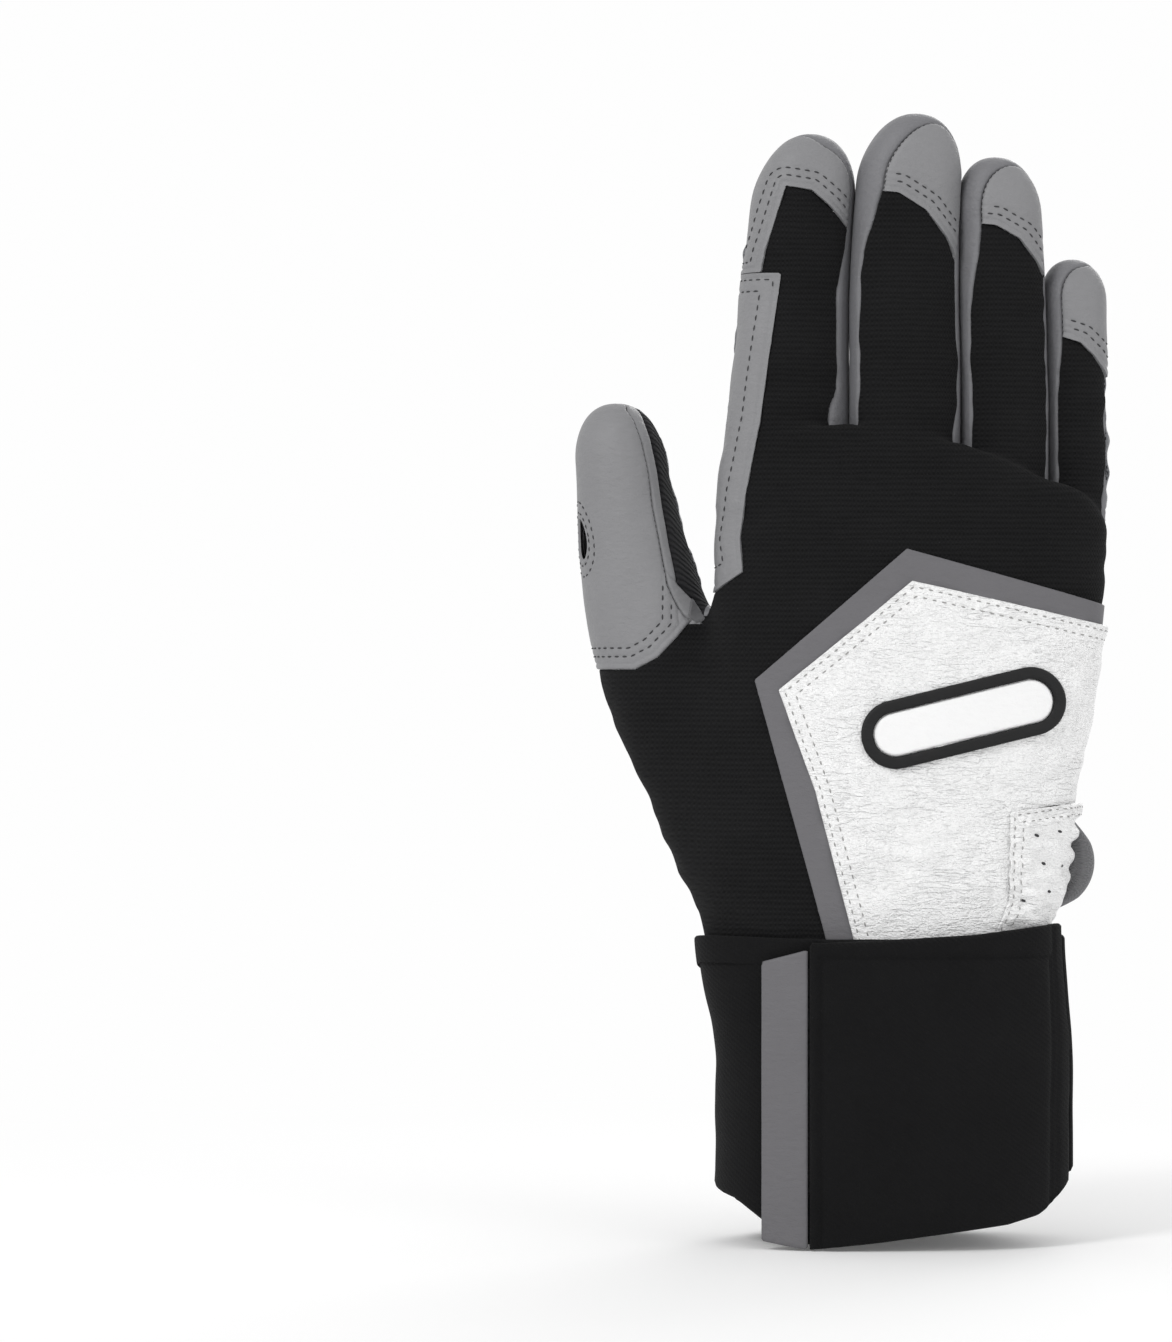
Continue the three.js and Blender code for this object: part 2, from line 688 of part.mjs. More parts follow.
const rootSheet = cuffShell(cuffOuter + layerGap, strapHigh, 0, strapTop).subtract(cuffCorners);
const rootRegion = prismAlongY([[0, -far], [far, -far], [far, far], [0, far]], strapRootY + seam, strapRootFront);
addPiece("strap_sewn_root", rootSheet.intersect(rootRegion), blackCuff);

// Hook tape under the strap and loop tape on the cuff, face to face
const tapeMargin = rimCorner;
const tapeTop = cuffHeight - bindingHeight;
const hookLow = cuffOuter + 2 * layerGap + fastenerThickness;
const tapeRegion = backSide(strapEndX + seam, strapEndX + fastenerWidth);
const loopTape = cuffShell(cuffOuter + layerGap, cuffOuter + layerGap + fastenerThickness, tapeMargin, tapeTop);
addPiece("cuff_loop_tape", loopTape.intersect(backSide(strapEndX - tabWidth, strapEndX + fastenerWidth)), hookTape);
const hookTapeSheet = cuffShell(hookLow, hookLow + fastenerThickness, tapeMargin, tapeTop);
addPiece("strap_hook_tape", hookTapeSheet.intersect(tapeRegion), hookTape);

// Turned binding at the top of the cuff, on the palm side, where the strap doesn't reach
const bindingSheet = cuffShell(cuffOuter + seam, cuffOuter + seam + bindingWall, bindingLow, cuffHeight);
const bindingRegion = prismAlongY([[-far, -far], [far, -far], [far, far], [-far, far]], strapRootFront + seam, far);
addPiece("cuff_top_binding", bindingSheet.intersect(bindingRegion), blackCuff);

// Pull loop: a bowed strap on the ulnar edge, above the cuff, pinched together where it is sewn in
const loopSteps = 14;
const ulnarEdge = [[cuffHeight, (wristWidth / 2) * (wristAt(cuffHeight).width + wristAt(cuffHeight).centre)]];
for (const [height, centre, width] of handStationShares) {
  ulnarEdge.push([cuffHeight + handLength * height, knuckleHalf * (centre + width)]);
}
function bodyEdgeAt(z) {
  const i = ulnarEdge.findIndex(([top]) => z <= top);
  const [[z0, x0], [z1, x1]] = [ulnarEdge[i - 1], ulnarEdge[i]];
  return x0 + ((x1 - x0) * (z - z0)) / (z1 - z0);
}
function pullLoop() {
  const clear = 2 * seam;
  const footX = bodyEdgeAt(loopFoot) + clear;
  const rise = bodyEdgeAt(loopFoot + loopHeight) + clear - footX;
  const length = Math.hypot(rise, loopHeight);
  const slope = Math.atan2(rise, loopHeight) / degrees;
  const outside = [];
  const inside = [];
  for (let i = 0; i <= loopSteps; i++) {
    const angle = (180 * degrees * i) / loopSteps;
    const middle = length / 2;
    outside.push([loopStandOff * Math.sin(angle), middle - middle * Math.cos(angle)]);
    inside.push([(loopStandOff - loopThickness) * Math.sin(angle), middle - (middle - loopThickness) * Math.cos(angle)]);
  }
  const bow = prismAlongY([...outside, ...inside.reverse()], -loopWidth / 2, loopWidth / 2);
  const pinch = loopThickness / 2;
  const plan = [
    [0, -pinch],
    [loopStandOff / 2, -loopWidth / 2],
    [loopStandOff, -loopWidth / 2],
    [loopStandOff, loopWidth / 2],
    [loopStandOff / 2, loopWidth / 2],
    [0, pinch],
  ];
  return bow
    .intersect(prismAlongZ(plan, 0, length))
    .rotate([0, slope, 0])
    .translate([footX, 0, loopFoot]);
}
addPiece("pull_loop", pullLoop(), greyTrim);

// Stand the glove over the origin
const extent = new THREE.Box3().setFromObject(part);
const middle = extent.getCenter(new THREE.Vector3());
part.position.set(-middle.x, -middle.y, -extent.min.z);

export default part;
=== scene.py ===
"""A right-hand batting glove, standing filled out on its cuff, in a pale studio.

Sizes are millimetres in the glove's own frame: x across, away from the thumb, y out of the palm,
z up the fingers, zero at the centre of the wrist on the floor. to_row() turns them into the row frame.
"""
import math

import bpy
import numpy as np
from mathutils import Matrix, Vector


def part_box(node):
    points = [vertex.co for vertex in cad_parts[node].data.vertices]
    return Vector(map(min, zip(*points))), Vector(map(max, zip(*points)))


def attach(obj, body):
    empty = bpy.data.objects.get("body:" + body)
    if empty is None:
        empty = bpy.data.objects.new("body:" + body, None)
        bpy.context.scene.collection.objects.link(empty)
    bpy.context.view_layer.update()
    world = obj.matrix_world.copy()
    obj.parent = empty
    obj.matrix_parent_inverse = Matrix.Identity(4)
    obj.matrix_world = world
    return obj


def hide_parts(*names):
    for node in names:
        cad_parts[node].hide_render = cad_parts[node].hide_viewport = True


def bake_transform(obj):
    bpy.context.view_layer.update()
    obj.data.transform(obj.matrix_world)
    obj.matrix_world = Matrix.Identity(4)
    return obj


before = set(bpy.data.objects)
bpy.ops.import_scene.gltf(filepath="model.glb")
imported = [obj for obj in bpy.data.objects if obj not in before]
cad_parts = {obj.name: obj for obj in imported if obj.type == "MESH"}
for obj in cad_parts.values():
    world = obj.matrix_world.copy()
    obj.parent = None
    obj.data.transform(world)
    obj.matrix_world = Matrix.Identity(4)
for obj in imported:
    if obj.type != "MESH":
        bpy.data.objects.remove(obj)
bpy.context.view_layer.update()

import openvdb
from mathutils import Vector

MM = 0.001

# Sizes shared by the glove body and its pieces
WRIST_HALF_WIDTH = 39.5
CUFF_OUTSIDE = 3.35
HAND_BOTTOM = 67.0
FINGER_TWIST = math.radians(13)
THUMB_TWIST = math.radians(-22)
STRIP_HALF = 5.2  # half the width of the strips between the fingers
SHEET = 1.0  # thickness of leather and knit

# The wrist's middle, taken from the cuff
cuff_low, cuff_high = (np.array(corner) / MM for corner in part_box("cuff_sleeve"))
wrist_across = cuff_high[0] - WRIST_HALF_WIDTH - CUFF_OUTSIDE
wrist_forward = (cuff_low[1] + cuff_high[1]) / 2
WRIST_MIDDLE = np.array([wrist_across, wrist_forward, 0.0])


def to_row(points):
    """Millimetres in the glove's frame to metres in the row frame."""
    return (np.asarray(points, float) + WRIST_MIDDLE) * MM


def smooth_step(value, low, high):
    """From 0 at low to 1 at high, without corners."""
    t = np.clip((value - low) / (high - low), 0, 1)
    return t * t * (3 - 2 * t)


def bump(value, middle, width):
    """One at the middle, fading to nothing on both sides."""
    return np.exp(-(((value - middle) / width) ** 2))


def curve_through(heights, values):
    """A smooth function through a few stations."""
    heights, values = np.array(heights, float), np.array(values, float)
    slopes = np.gradient(values, heights)

    def at(z):
        z = np.clip(z, heights[0], heights[-1])
        i = np.clip(np.searchsorted(heights, z) - 1, 0, len(heights) - 2)
        span = heights[i + 1] - heights[i]
        t = (z - heights[i]) / span
        a, b = values[i], values[i + 1]
        return (
            (2 * t**3 - 3 * t**2 + 1) * a
            + (t**3 - 2 * t**2 + t) * span * slopes[i]
            + (3 * t**2 - 2 * t**3) * b
            + (t**3 - t**2) * span * slopes[i + 1]
        )

    return at


END_POWER = 2.2  # how square the round ends of the fingers are, where 2 is an ellipse


class Limb:
    """A finger, the thumb or the hand: oval sections stacked along z, with a round end."""

    def __init__(self, heights, across, forward, half_width, half_depth,
                 twist=0.0, power=2.4, tip=None, dome=None):
        self.across = curve_through(heights, across)
        self.forward = curve_through(heights, forward)
        self.half_width = curve_through(heights, half_width)
        self.half_depth = curve_through(heights, half_depth)
        self.cos, self.sin = math.cos(twist), math.sin(twist)
        self.power, self.tip, self.dome = power, tip, dome

    def local(self, x, y, z):
        """Across and forward of the limb's own middle, turned with its twist."""
        dx, dy = x - self.across(z), y - self.forward(z)
        return dx * self.cos + dy * self.sin, dy * self.cos - dx * self.sin

    def distance(self, x, y, z):
        """Roughly how far a place is outside the limb."""
        u, v = self.local(x, y, z)
        a, b, p = self.half_width(z), self.half_depth(z), self.power
        u, v = np.abs(u) / a, np.abs(v) / b
        s = np.maximum((u**p + v**p) ** (1 / p), 1e-3)
        gu, gv = (u / s) ** (p - 1) / a, (v / s) ** (p - 1) / b
        if self.tip is None:
            return (s - 1) / np.sqrt(gu * gu + gv * gv)
        q = END_POWER
        w = np.maximum(z - (self.tip - self.dome), 0) / self.dome
        r = (s**q + w**q) ** (1 / q)
        gs, gw = (s / r) ** (q - 1), (w / r) ** (q - 1) / self.dome
        return (r - 1) / np.sqrt(gs * gs * (gu * gu + gv * gv) + gw * gw)


HAND = Limb(
    heights=[60, 80, 95, 113, 138, 164, 185, 206],
    across=[0, -1.6, -0.5, 0.8, 3.6, 6.0, 7.0, 7.9],
    forward=[0, 0, 0, 0, 0, 0, 0, 0],
    half_width=[39.4, 41.2, 44.4, 46.4, 48.6, 49.6, 49.8, 49.0],
    half_depth=[20.6, 20.8, 19.8, 18.6, 17.6, 16.4, 15.0, 13.2],
    power=2.5,
)
THUMB = Limb(
    heights=[84, 100, 115, 130, 147, 160, 175, 190, 204, 216],
    across=[-29, -35.5, -42.0, -49.8, -56.6, -60.4, -63.6, -66.0, -67.6, -68.6],
    forward=[2, 5, 8.5, 11.5, 14.0, 15.2, 16.2, 17.0, 17.6, 18.0],
    half_width=[19.6, 19.8, 19.2, 18.2, 17.0, 15.8, 14.2, 12.4, 11.2, 10.4],
    half_depth=[15.5, 16.8, 17.0, 16.4, 15.0, 14.2, 13.4, 12.6, 12.0, 11.4],
    twist=THUMB_TWIST,
    power=2.3,
    tip=215.3,
    dome=15.0,
)

FINGER_HALF_DEPTH = {"index": 10.6, "middle": 10.6, "ring": 10.3, "little": 9.6}
FINGER_FORWARD = {"index": 1.0, "middle": -1.0, "ring": 2.0, "little": 6.2}
# Each finger: heights, middles across, half widths, the height of its tip and of its round end
FINGER_STATIONS = {
    "index": (
        [176, 198, 211, 223, 244, 257, 268, 283],
        [-26.7, -25.48, -24.7, -24.1, -23.05, -22.02, -20.72, -18.9],
        [16.4, 16.02, 15.5, 14.8, 13.85, 13.38, 12.78, 11.8],
        283.2, 17.0,
    ),
    "middle": (
        [176, 198, 211, 226, 242, 262, 274, 288],
        [4.6, 4.75, 5.02, 5.0, 4.8, 5.45, 6.25, 8.0],
        [13.4, 13.85, 13.88, 13.95, 13.68, 13.35, 12.95, 12.2],
        288.2, 17.5,
    ),
    "ring": (
        [176, 198, 211, 226, 242, 255, 266, 278],
        [30.2, 30.45, 30.58, 30.22, 29.85, 29.55, 29.0, 28.2],
        [11.3, 11.05, 10.92, 11.02, 10.9, 10.65, 10.4, 10.0],
        277.4, 14.5,
    ),
    "little": (
        [166, 187, 200, 211, 222, 232, 242, 252],
        [48.6, 49.4, 49.6, 49.4, 49.1, 48.9, 48.6, 48.2],
        [8.4, 7.8, 7.5, 7.5, 7.6, 7.7, 7.7, 7.6],
        251.4, 10.5,
    ),
}

# How deep a finger is along its length, from its root to its tip
DEPTH_PLACES = [-0.3, 0, 0.3, 0.55, 0.8, 1]
DEPTH_SHARES = [0.97, 1, 0.985, 0.96, 0.93, 0.9]


def finger_limb(name):
    heights, across, half_width, tip, dome = FINGER_STATIONS[name]
    root = heights[1]
    shares = [np.interp((z - root) / (tip - root), DEPTH_PLACES, DEPTH_SHARES) for z in heights]
    return Limb(
        heights=heights,
        across=across,
        forward=[FINGER_FORWARD[name]] * len(heights),
        half_width=half_width,
        half_depth=[FINGER_HALF_DEPTH[name] * share for share in shares],
        twist=FINGER_TWIST,
        power=2.4,
        tip=tip,
        dome=dome,
    )


FINGER_NAMES = ["index", "middle", "ring", "little"]
FINGERS = {name: finger_limb(name) for name in FINGER_NAMES}

# The joints: y and z of each finger's hinge line, and a place on the thumb's
ROOTS = {"index": (12.7, 198), "middle": (10.6, 198), "ring": (13.7, 198), "little": (17.8, 186.7)}
THUMB_ROOT = (-45.105, 15.0, 161.42)
# A finger's root slants forward and the thumb's sideways, by so much for each millimetre up
ROOT_SLANT = 0.62
ROOT_SLANT_LENGTH = 1.177
THUMB_SLANT = -0.5
THUMB_SLANT_LENGTH = 1.118
# Heights above the hinge line: the part of the fabric that belongs to a finger or the thumb begins at the
# first
FINGER_BEND = (-5, 11)
THUMB_BEND = (4, 16)

# The whole glove as one smooth surface, before it is cut into its panels

GRID_LOW = np.array([-88.0, -26.0, 62.0])
GRID_HIGH = np.array([64.0, 38.0, 293.0])
CELL = np.array([0.6, 0.85, 0.95]) * 1.0
GRID_REACH = 4.0  # how far from the surface the grid knows the distance
SMOOTHING = 0.6
SMOOTHING_ROUNDS = 3
WEB_ACROSS = [-40, -9.5, 19, 41.5, 60]
WEB_HEIGHT = [201, 201, 198.2, 190, 186]
WEB_SLOPE = [0.84, 0.84, 0.6, 0.55, 0.55]
FINGER_GAP = 0.9  # between the base surfaces of two fingers, so that both have closed sides
FINGER_LOW = 188  # below these heights the fingers and the thumb run out into the hand
THUMB_LOW = 94
# How softly the top of the hand, the thumb and the fingers run into the rest
WEB_ROUNDING = 6.0
THUMB_ROUNDING = 11.0
FINGER_ROUNDING = 2.6


def soft_union(a, b, radius):
    """The nearer of two distances, rounded where they are alike."""
    h = np.clip(0.5 + 0.5 * (b - a) / radius, 0, 1)
    return b + (a - b) * h - radius * h * (1 - h)


def web_height(x, y):
    """The height of the web between the fingers, which rises towards the back."""
    return np.interp(x, WEB_ACROSS, WEB_HEIGHT) - np.interp(x, WEB_ACROSS, WEB_SLOPE) * y


def stall_distance(x, y, z):
    """Roughly how far a place is outside the finger stalls, which keep a small gap to each other."""
    alone = [limb.distance(x, y, z) for limb in FINGERS.values()]
    stalls = None
    for i, own in enumerate(alone):
        stall = own
        for other in alone[max(i - 1, 0):i] + alone[i + 1:i + 2]:
            stall = np.maximum(stall, (own - other + FINGER_GAP) / 2)
        stalls = stall if stalls is None else np.minimum(stalls, stall)
    return stalls + np.maximum(FINGER_LOW - z, 0) * 0.6


def glove_distance(x, y, z):
    """Roughly how far a place is outside the glove's base surface."""
    top = (z - web_height(x, y)) * 0.8
    whole = -soft_union(-HAND.distance(x, y, z), -top, WEB_ROUNDING)
    thumb = THUMB.distance(x, y, z) + np.maximum(THUMB_LOW - z, 0) * 0.25
    whole = soft_union(whole, thumb, THUMB_ROUNDING)
    return soft_union(whole, stall_distance(x, y, z), FINGER_ROUNDING)


def gradient_at(points):
    """The direction in which the distance grows, which is the surface's normal."""
    step = 0.35
    columns = []
    for axis in range(3):
        move = np.zeros(3)
        move[axis] = step
        ahead, behind = glove_distance(*(points + move).T), glove_distance(*(points - move).T)
        columns.append((ahead - behind) / (2 * step))
    return np.stack(columns, 1)


def unit(vectors):
    return vectors / np.maximum(np.linalg.norm(vectors, axis=1, keepdims=True), 1e-9)


def glove_surface():
    """Points and triangles of the base surface, evenly spread and exactly on it."""
    x, y, z = (
        np.arange(low, high, cell, dtype=np.float32) for low, high, cell in zip(GRID_LOW, GRID_HIGH, CELL)
    )
    field = glove_distance(x[:, None, None], y[None, :, None], z[None, None, :]).astype(np.float32)
    grid = openvdb.FloatGrid(GRID_REACH)
    grid.copyFromArray(np.clip(field, -GRID_REACH, GRID_REACH))
    points, triangles, quads = grid.convertToPolygons(isovalue=0.0, adaptivity=0.0)
    points = points.astype(float) * CELL + GRID_LOW
    halves = [quads[:, [0, 1, 2]], quads[:, [0, 2, 3]]]
    triangles = np.concatenate([triangles.reshape(-1, 3)] + halves).astype(np.int64)
    edges = np.concatenate([triangles[:, [0, 1]], triangles[:, [1, 2]], triangles[:, [2, 0]]])
    count = np.bincount(edges.ravel(), minlength=len(points))[:, None]
    for _ in range(SMOOTHING_ROUNDS):
        total = np.zeros_like(points)
        for axis in range(3):
            total[:, axis] = np.bincount(edges[:, 0], points[edges[:, 1], axis], len(points))
            total[:, axis] += np.bincount(edges[:, 1], points[edges[:, 0], axis], len(points))
        points = points * (1 - SMOOTHING) + SMOOTHING * total / count
        slope = gradient_at(points)
        distance = glove_distance(*points.T)[:, None]
        steepness = np.maximum((slope**2).sum(1, keepdims=True), 0.05)
        points = points - np.clip(distance, -1, 1) * slope / steepness
    a, b, c = (points[triangles[:, i]] for i in range(3))
    if (np.cross(b - a, c - a) * gradient_at((a + b + c) / 3)).sum() < 0:
        triangles = triangles[:, ::-1]
    return points, np.ascontiguousarray(triangles)


# Cutting a surface along the lines where a value is zero. Its data has a row for each point: the place on
# the base surface, and later also the place when dressed and the normal there

SNAP = 0.07  # values this near to zero count as zero, so that no triangle becomes a sliver


def cut(data, triangles, values):
    """Splits triangles where values change sign. Gives the longer data and the triangles on each side."""
    values = np.where(np.abs(values) < SNAP, 0.0, values)
    side = np.sign(values).astype(int)
    corner = side[triangles]
    low, high = corner.min(1), corner.max(1)
    above = [triangles[(low >= 0) & (high > 0)]]
    below = [triangles[high <= 0]]
    crossing = triangles[(low < 0) & (high > 0)]
    corner = side[crossing]
    plus, minus = (corner > 0).sum(1), (corner < 0).sum(1)
    lone_sign = np.where((plus == 1) & (minus == 2), 1, np.where((plus == 2) & (minus == 1), -1, 0))
    lone = np.argmax(corner == lone_sign[:, None], 1)
    rows = np.arange(len(crossing))
    a, b, c = (crossing[rows, (lone + i) % 3] for i in range(3))
    cuts_lone = lone_sign != 0
    ends = np.concatenate(
        [
            np.stack([a, b], 1)[cuts_lone],
            np.stack([a, c], 1)[cuts_lone],
            np.stack([b, c], 1)[~cuts_lone],
        ]
    )
    ends.sort(axis=1)
    keys, place = np.unique(ends[:, 0] * len(data) + ends[:, 1], return_inverse=True)
    i, j = keys // len(data), keys % len(data)
    t = (values[i] / (values[i] - values[j]))[:, None] if len(keys) else np.zeros((0, 1))
    place = place + len(data)
    data = np.concatenate([data, data[i] * (1 - t) + data[j] * t])
    n = int(cuts_lone.sum())
    ab, ac, bc = place[:n], place[n : 2 * n], place[2 * n :]
    al, bl, cl = a[cuts_lone], b[cuts_lone], c[cuts_lone]
    lone_up = lone_sign[cuts_lone] > 0
    small = np.stack([al, ab, ac], 1)
    wide_one, wide_two = np.stack([ab, bl, cl], 1), np.stack([ab, cl, ac], 1)
    above += [small[lone_up], wide_one[~lone_up], wide_two[~lone_up]]
    below += [small[~lone_up], wide_one[lone_up], wide_two[lone_up]]
    az, bz, cz = a[~cuts_lone], b[~cuts_lone], c[~cuts_lone]
    b_up = side[bz] > 0
    first, second = np.stack([az, bz, bc], 1), np.stack([az, bc, cz], 1)
    above += [first[b_up], second[~b_up]]
    below += [first[~b_up], second[b_up]]
    return data, np.concatenate(above), np.concatenate(below)


def compact(data, triangles):
    """The same triangles, without the points that none of them uses."""
    used, place = np.unique(triangles, return_inverse=True)
    return data[used], place.reshape(-1, 3)


def kept(data, triangles, field, level=0.0):
    """The part where the field is above a level."""
    data, above, _ = cut(data, triangles, field(data[:, :3]) - level)
    return compact(data, above)


def split(data, triangles, field):
    """The part where the field is positive, and the rest."""
    data, positive, negative = cut(data, triangles, field(data[:, :3]))
    return compact(data, positive), compact(data, negative)


def rowed(data, triangles, field, levels):
    """The same surface, with a row of points along each level of the field."""
    for level in levels:
        data, above, below = cut(data, triangles, field(data[:, :3]) - level)
        data, triangles = compact(data, np.concatenate([above, below]))
    return data, triangles


def rim_edges(triangles):
    """The directed edges that only one triangle uses."""
    edges = np.concatenate([triangles[:, [0, 1]], triangles[:, [1, 2]], triangles[:, [2, 0]]])
    span = int(triangles.max()) + 1 if len(triangles) else 1
    forward = edges[:, 0] * span + edges[:, 1]
    backward = edges[:, 1] * span + edges[:, 0]
    return edges[~np.isin(forward, backward)]


def sheet_triangles(triangles, count):
    """The edge that closes a sheet between its face and its back, and all of its triangles."""
    edges = rim_edges(triangles)
    a, b = edges[:, 0], edges[:, 1]
    rim = np.concatenate([np.stack([b, a, a + count], 1), np.stack([b, a + count, b + count], 1)])
    return rim, np.concatenate([triangles, triangles[:, ::-1] + count, rim])


def point_normals(points, triangles):
    a, b, c = (points[triangles[:, i]] for i in range(3))
    face = np.cross(b - a, c - a)
    normals = np.zeros_like(points)
    for corner in range(3):
        for axis in range(3):
            normals[:, axis] += np.bincount(triangles[:, corner], face[:, axis], len(points))
    return unit(normals)


# Where each panel lies, as fields that are positive inside it and grow by about one per millimetre

def outline_depth(points, outline):
    """How far inside a closed outline, drawn in the x-z plane, a place is."""
    x, z = points[:, 0], points[:, 2]
    path = np.array(outline, float)
    ends = np.roll(path, -1, 0)
    best = np.full(len(points), 1e9)
    inside = np.zeros(len(points), bool)
    for (x0, z0), (x1, z1) in zip(path, ends):
        dx, dz = x1 - x0, z1 - z0
        t = np.clip(((x - x0) * dx + (z - z0) * dz) / (dx * dx + dz * dz + 1e-12), 0, 1)
        best = np.minimum(best, np.hypot(x - x0 - t * dx, z - z0 - t * dz))
        crosses = (z0 > z) != (z1 > z)
        slant = x0 + (z - z0) * dx / (dz if abs(dz) > 1e-9 else 1e-9)
        inside ^= crosses & (x < slant)
    return np.where(inside, best, -best)


def outside(field):
    """The same field, positive where the other is negative."""
    return lambda points: -field(points)


def finger_distances(points):
    """How far a place is outside each finger: one row for each finger."""
    return np.stack([limb.distance(*points.T) for limb in FINGERS.values()])


def nearer_thumb(points):
    """How much nearer a place is to the thumb than to the hand and the fingers."""
    hand = np.minimum(HAND.distance(*points.T), finger_distances(points).min(0))
    return hand - THUMB.distance(*points.T)


# The middle of the fingers' sides: places across, and how far forward it is there
FORWARD_ACROSS = [-25.5, 5.0, 30.8, 49.4]
FORWARD_Y = [FINGER_FORWARD[name] for name in FINGER_NAMES]


def side_value(points):
    """Forward of the middle of the fingers' sides: palm where it is high, back where it is low."""
    x, y, z = points.T
    nearest = finger_distances(points).argmin(0)
    value = np.zeros(len(points))
    for i, limb in enumerate(FINGERS.values()):
        value = np.where(nearest == i, limb.local(x, y, z)[1], value)
    web = y - np.interp(x, FORWARD_ACROSS, FORWARD_Y) * smooth_step(z, 150, 195)
    weight = smooth_step(z - web_height(x, y), 2, 13)
    return weight * value + (1 - weight) * web


def outer_sides(points):
    """One on the index finger's outer side, and one on the little finger's, fading over the tips."""
    x, y, z = points.T
    nearest = finger_distances(points).argmin(0)
    index_side = smooth_step(-FINGERS["index"].local(x, y, z)[0], -3, 10) * (nearest == 0)
    little_side = smooth_step(FINGERS["little"].local(x, y, z)[0], 1, 7) * (nearest == 3)
    low = z < 178
    index_side = np.where(low, x < 0, index_side)
    little_side = np.where(low, x > 0, little_side)
    return index_side, little_side


# How far each finger's strips reach back: on the side of the little finger, then on the side of the thumb,
# low down and high up
STRIP_BACK = {
    "index": (8.7, 5.0, 5.0),
    "middle": (6.4, 4.4, 8.0),
    "ring": (6.4, 5.2, 7.8),
    "little": (6.0, 5.4, 7.4),
}
# How far they reach towards the palm: low down and high up
STRIP_PALM = {"index": (6.4, 6.6), "middle": (6.4, 9.0), "ring": (6.4, 9.0), "little": (6.2, 6.2)}
STRIP_RISE = (44, 18)  # from here to there below a finger's tip, low down turns into high up
WEB_REACH = [6.8, 6.2, 5.6]  # how far back the strips reach in the three webs
WEB_LOBE = (1.2, 2.6)  # height and width of the lobe in which they end there


def strip_reach(points, facing):
    """How far the side strips reach towards the palm (facing 1) or the back (facing -1)."""
    x, y, z = points.T
    nearest = finger_distances(points).argmin(0)
    reach = np.full(len(points), STRIP_HALF)
    for i, (name, limb) in enumerate(FINGERS.items()):
        up = smooth_step(z, limb.tip - STRIP_RISE[0], limb.tip - STRIP_RISE[1])
        turned = smooth_step(limb.local(x, y, z)[0], -8, 8)
        if facing > 0:
            low, high = STRIP_PALM[name]
            found = low + (high - low) * up * turned
        else:
            little_side, low, high = STRIP_BACK[name]
            thumb_side_reach = low + (high - low) * up
            found = thumb_side_reach * (1 - turned) + (little_side - 2.2 * up) * turned
        reach = np.where(nearest == i, found, reach)
    web = STRIP_HALF
    if facing < 0:
        web = np.interp(x, WEB_ACROSS[1:4], WEB_REACH)
        for middle in WEB_ACROSS[1:4]:
            web = web + WEB_LOBE[0] * bump(x, middle, WEB_LOBE[1])
    return web + (reach - web) * smooth_step(z - web_height(x, y), 1, 12)


def little_edge(z):
    """Where the palm leather ends on the outer side of the little finger. It shows below the cap."""
    return -2.6 - 5.2 * smooth_step(z, 172, 186) * (1 - smooth_step(z, 216, 227))


INDEX_EDGE = 1.6  # from the middle of the index finger's outer side to the palm leather and to the back
HAND_EDGE = 2.0  # the same on both sides of the hand
THUMB_KNIT_EDGE = [(-90, 146.4), (-67.5, 146), (-61.5, 129), (-54, 112), (-43.5, 88), (-34.5, 66), (-90, 40)]


def panel_edge(points, facing):
    """How far from the middle of a side the palm leather (facing 1) or the back (facing -1) begins."""
    z = points[:, 2]
    index_side, little_side = outer_sides(points)
    strip = strip_reach(points, facing)
    edge = strip + index_side * (facing * INDEX_EDGE - strip)
    edge = edge + little_side * (facing * little_edge(z) - strip)
    beside_hand = (1 - smooth_step(z, 166, 180)) * (index_side + little_side > 0.5)
    return edge + (facing * HAND_EDGE - edge) * beside_hand


def palm_field(points):
    """The palm leather of the hand, the fingers and the thumb."""
    hand = side_value(points) - panel_edge(points, 1)
    u, v = THUMB.local(*points.T)
    thumb = v - 1.5 - 2.5 * smooth_step(u, 0, 8)
    weight = smooth_step(nearer_thumb(points), -5, 5)
    whole = hand * (1 - weight) + thumb * weight
    return np.minimum(whole, -outline_depth(points, THUMB_KNIT_EDGE))


def back_field(points):
    """The back of the hand and the fingers, without the thumb."""
    return -side_value(points) - panel_edge(points, -1)


CAP_EDGES = {
    "index": [
        (-60, 247), (-32.0, 247.5), (-31.0, 253), (-25.8, 269.5), (-19.3, 268.5), (-14.3, 264.3),
        (-9.5, 259),
    ],
    "middle": [(-14, 268.6), (-3.0, 268.2), (2.7, 267.6), (9.7, 263.3), (15.2, 256.3), (20, 247)],
    "ring": [(14, 260.4), (22.3, 260.2), (27.8, 259.6), (33.8, 256.3), (38.3, 250.8), (43, 243)],
    "little": [(38, 232), (45.3, 231.5), (49.8, 230), (53.3, 226.7), (55.6, 223.3), (60, 216)],
}
WRAP_EDGE = [
    (-50, 247.4), (-27.0, 247.2), (-30.2, 225.6), (-32.3, 210), (-36, 191), (-37.4, 179.5), (-36.8, 171.2),
    (-41.5, 168.0), (-48.6, 162.0), (-90, 160),
]
WRAP_OUTLINE = WRAP_EDGE + [(-90, 247.4)]
# The thumb's back leather: its lower edge, and the whole of it
THUMB_HEM_EDGE = [(-49.6, 159.2), (-53.3, 154.7), (-58.3, 149.4), (-64.3, 146.2), (-76, 146.2)]
THUMB_BACK_OUTLINE = [
    (-67, 222), (-66.2, 213.4), (-64.4, 210.8), (-62.3, 205), (-60.8, 197.7), (-59.5, 188), (-57.2, 176),
    (-55.9, 168), (-53.8, 163.6), (-51.3, 159.7), *THUMB_HEM_EDGE, (-95, 146), (-95, 222),
]


def cap_outline(name):
    """A cap's outline: its lower edge, and far beyond the finger's tip."""
    edge = CAP_EDGES[name]
    return edge + [(edge[-1][0] + 60, 340), (edge[0][0] - 60, 340)]


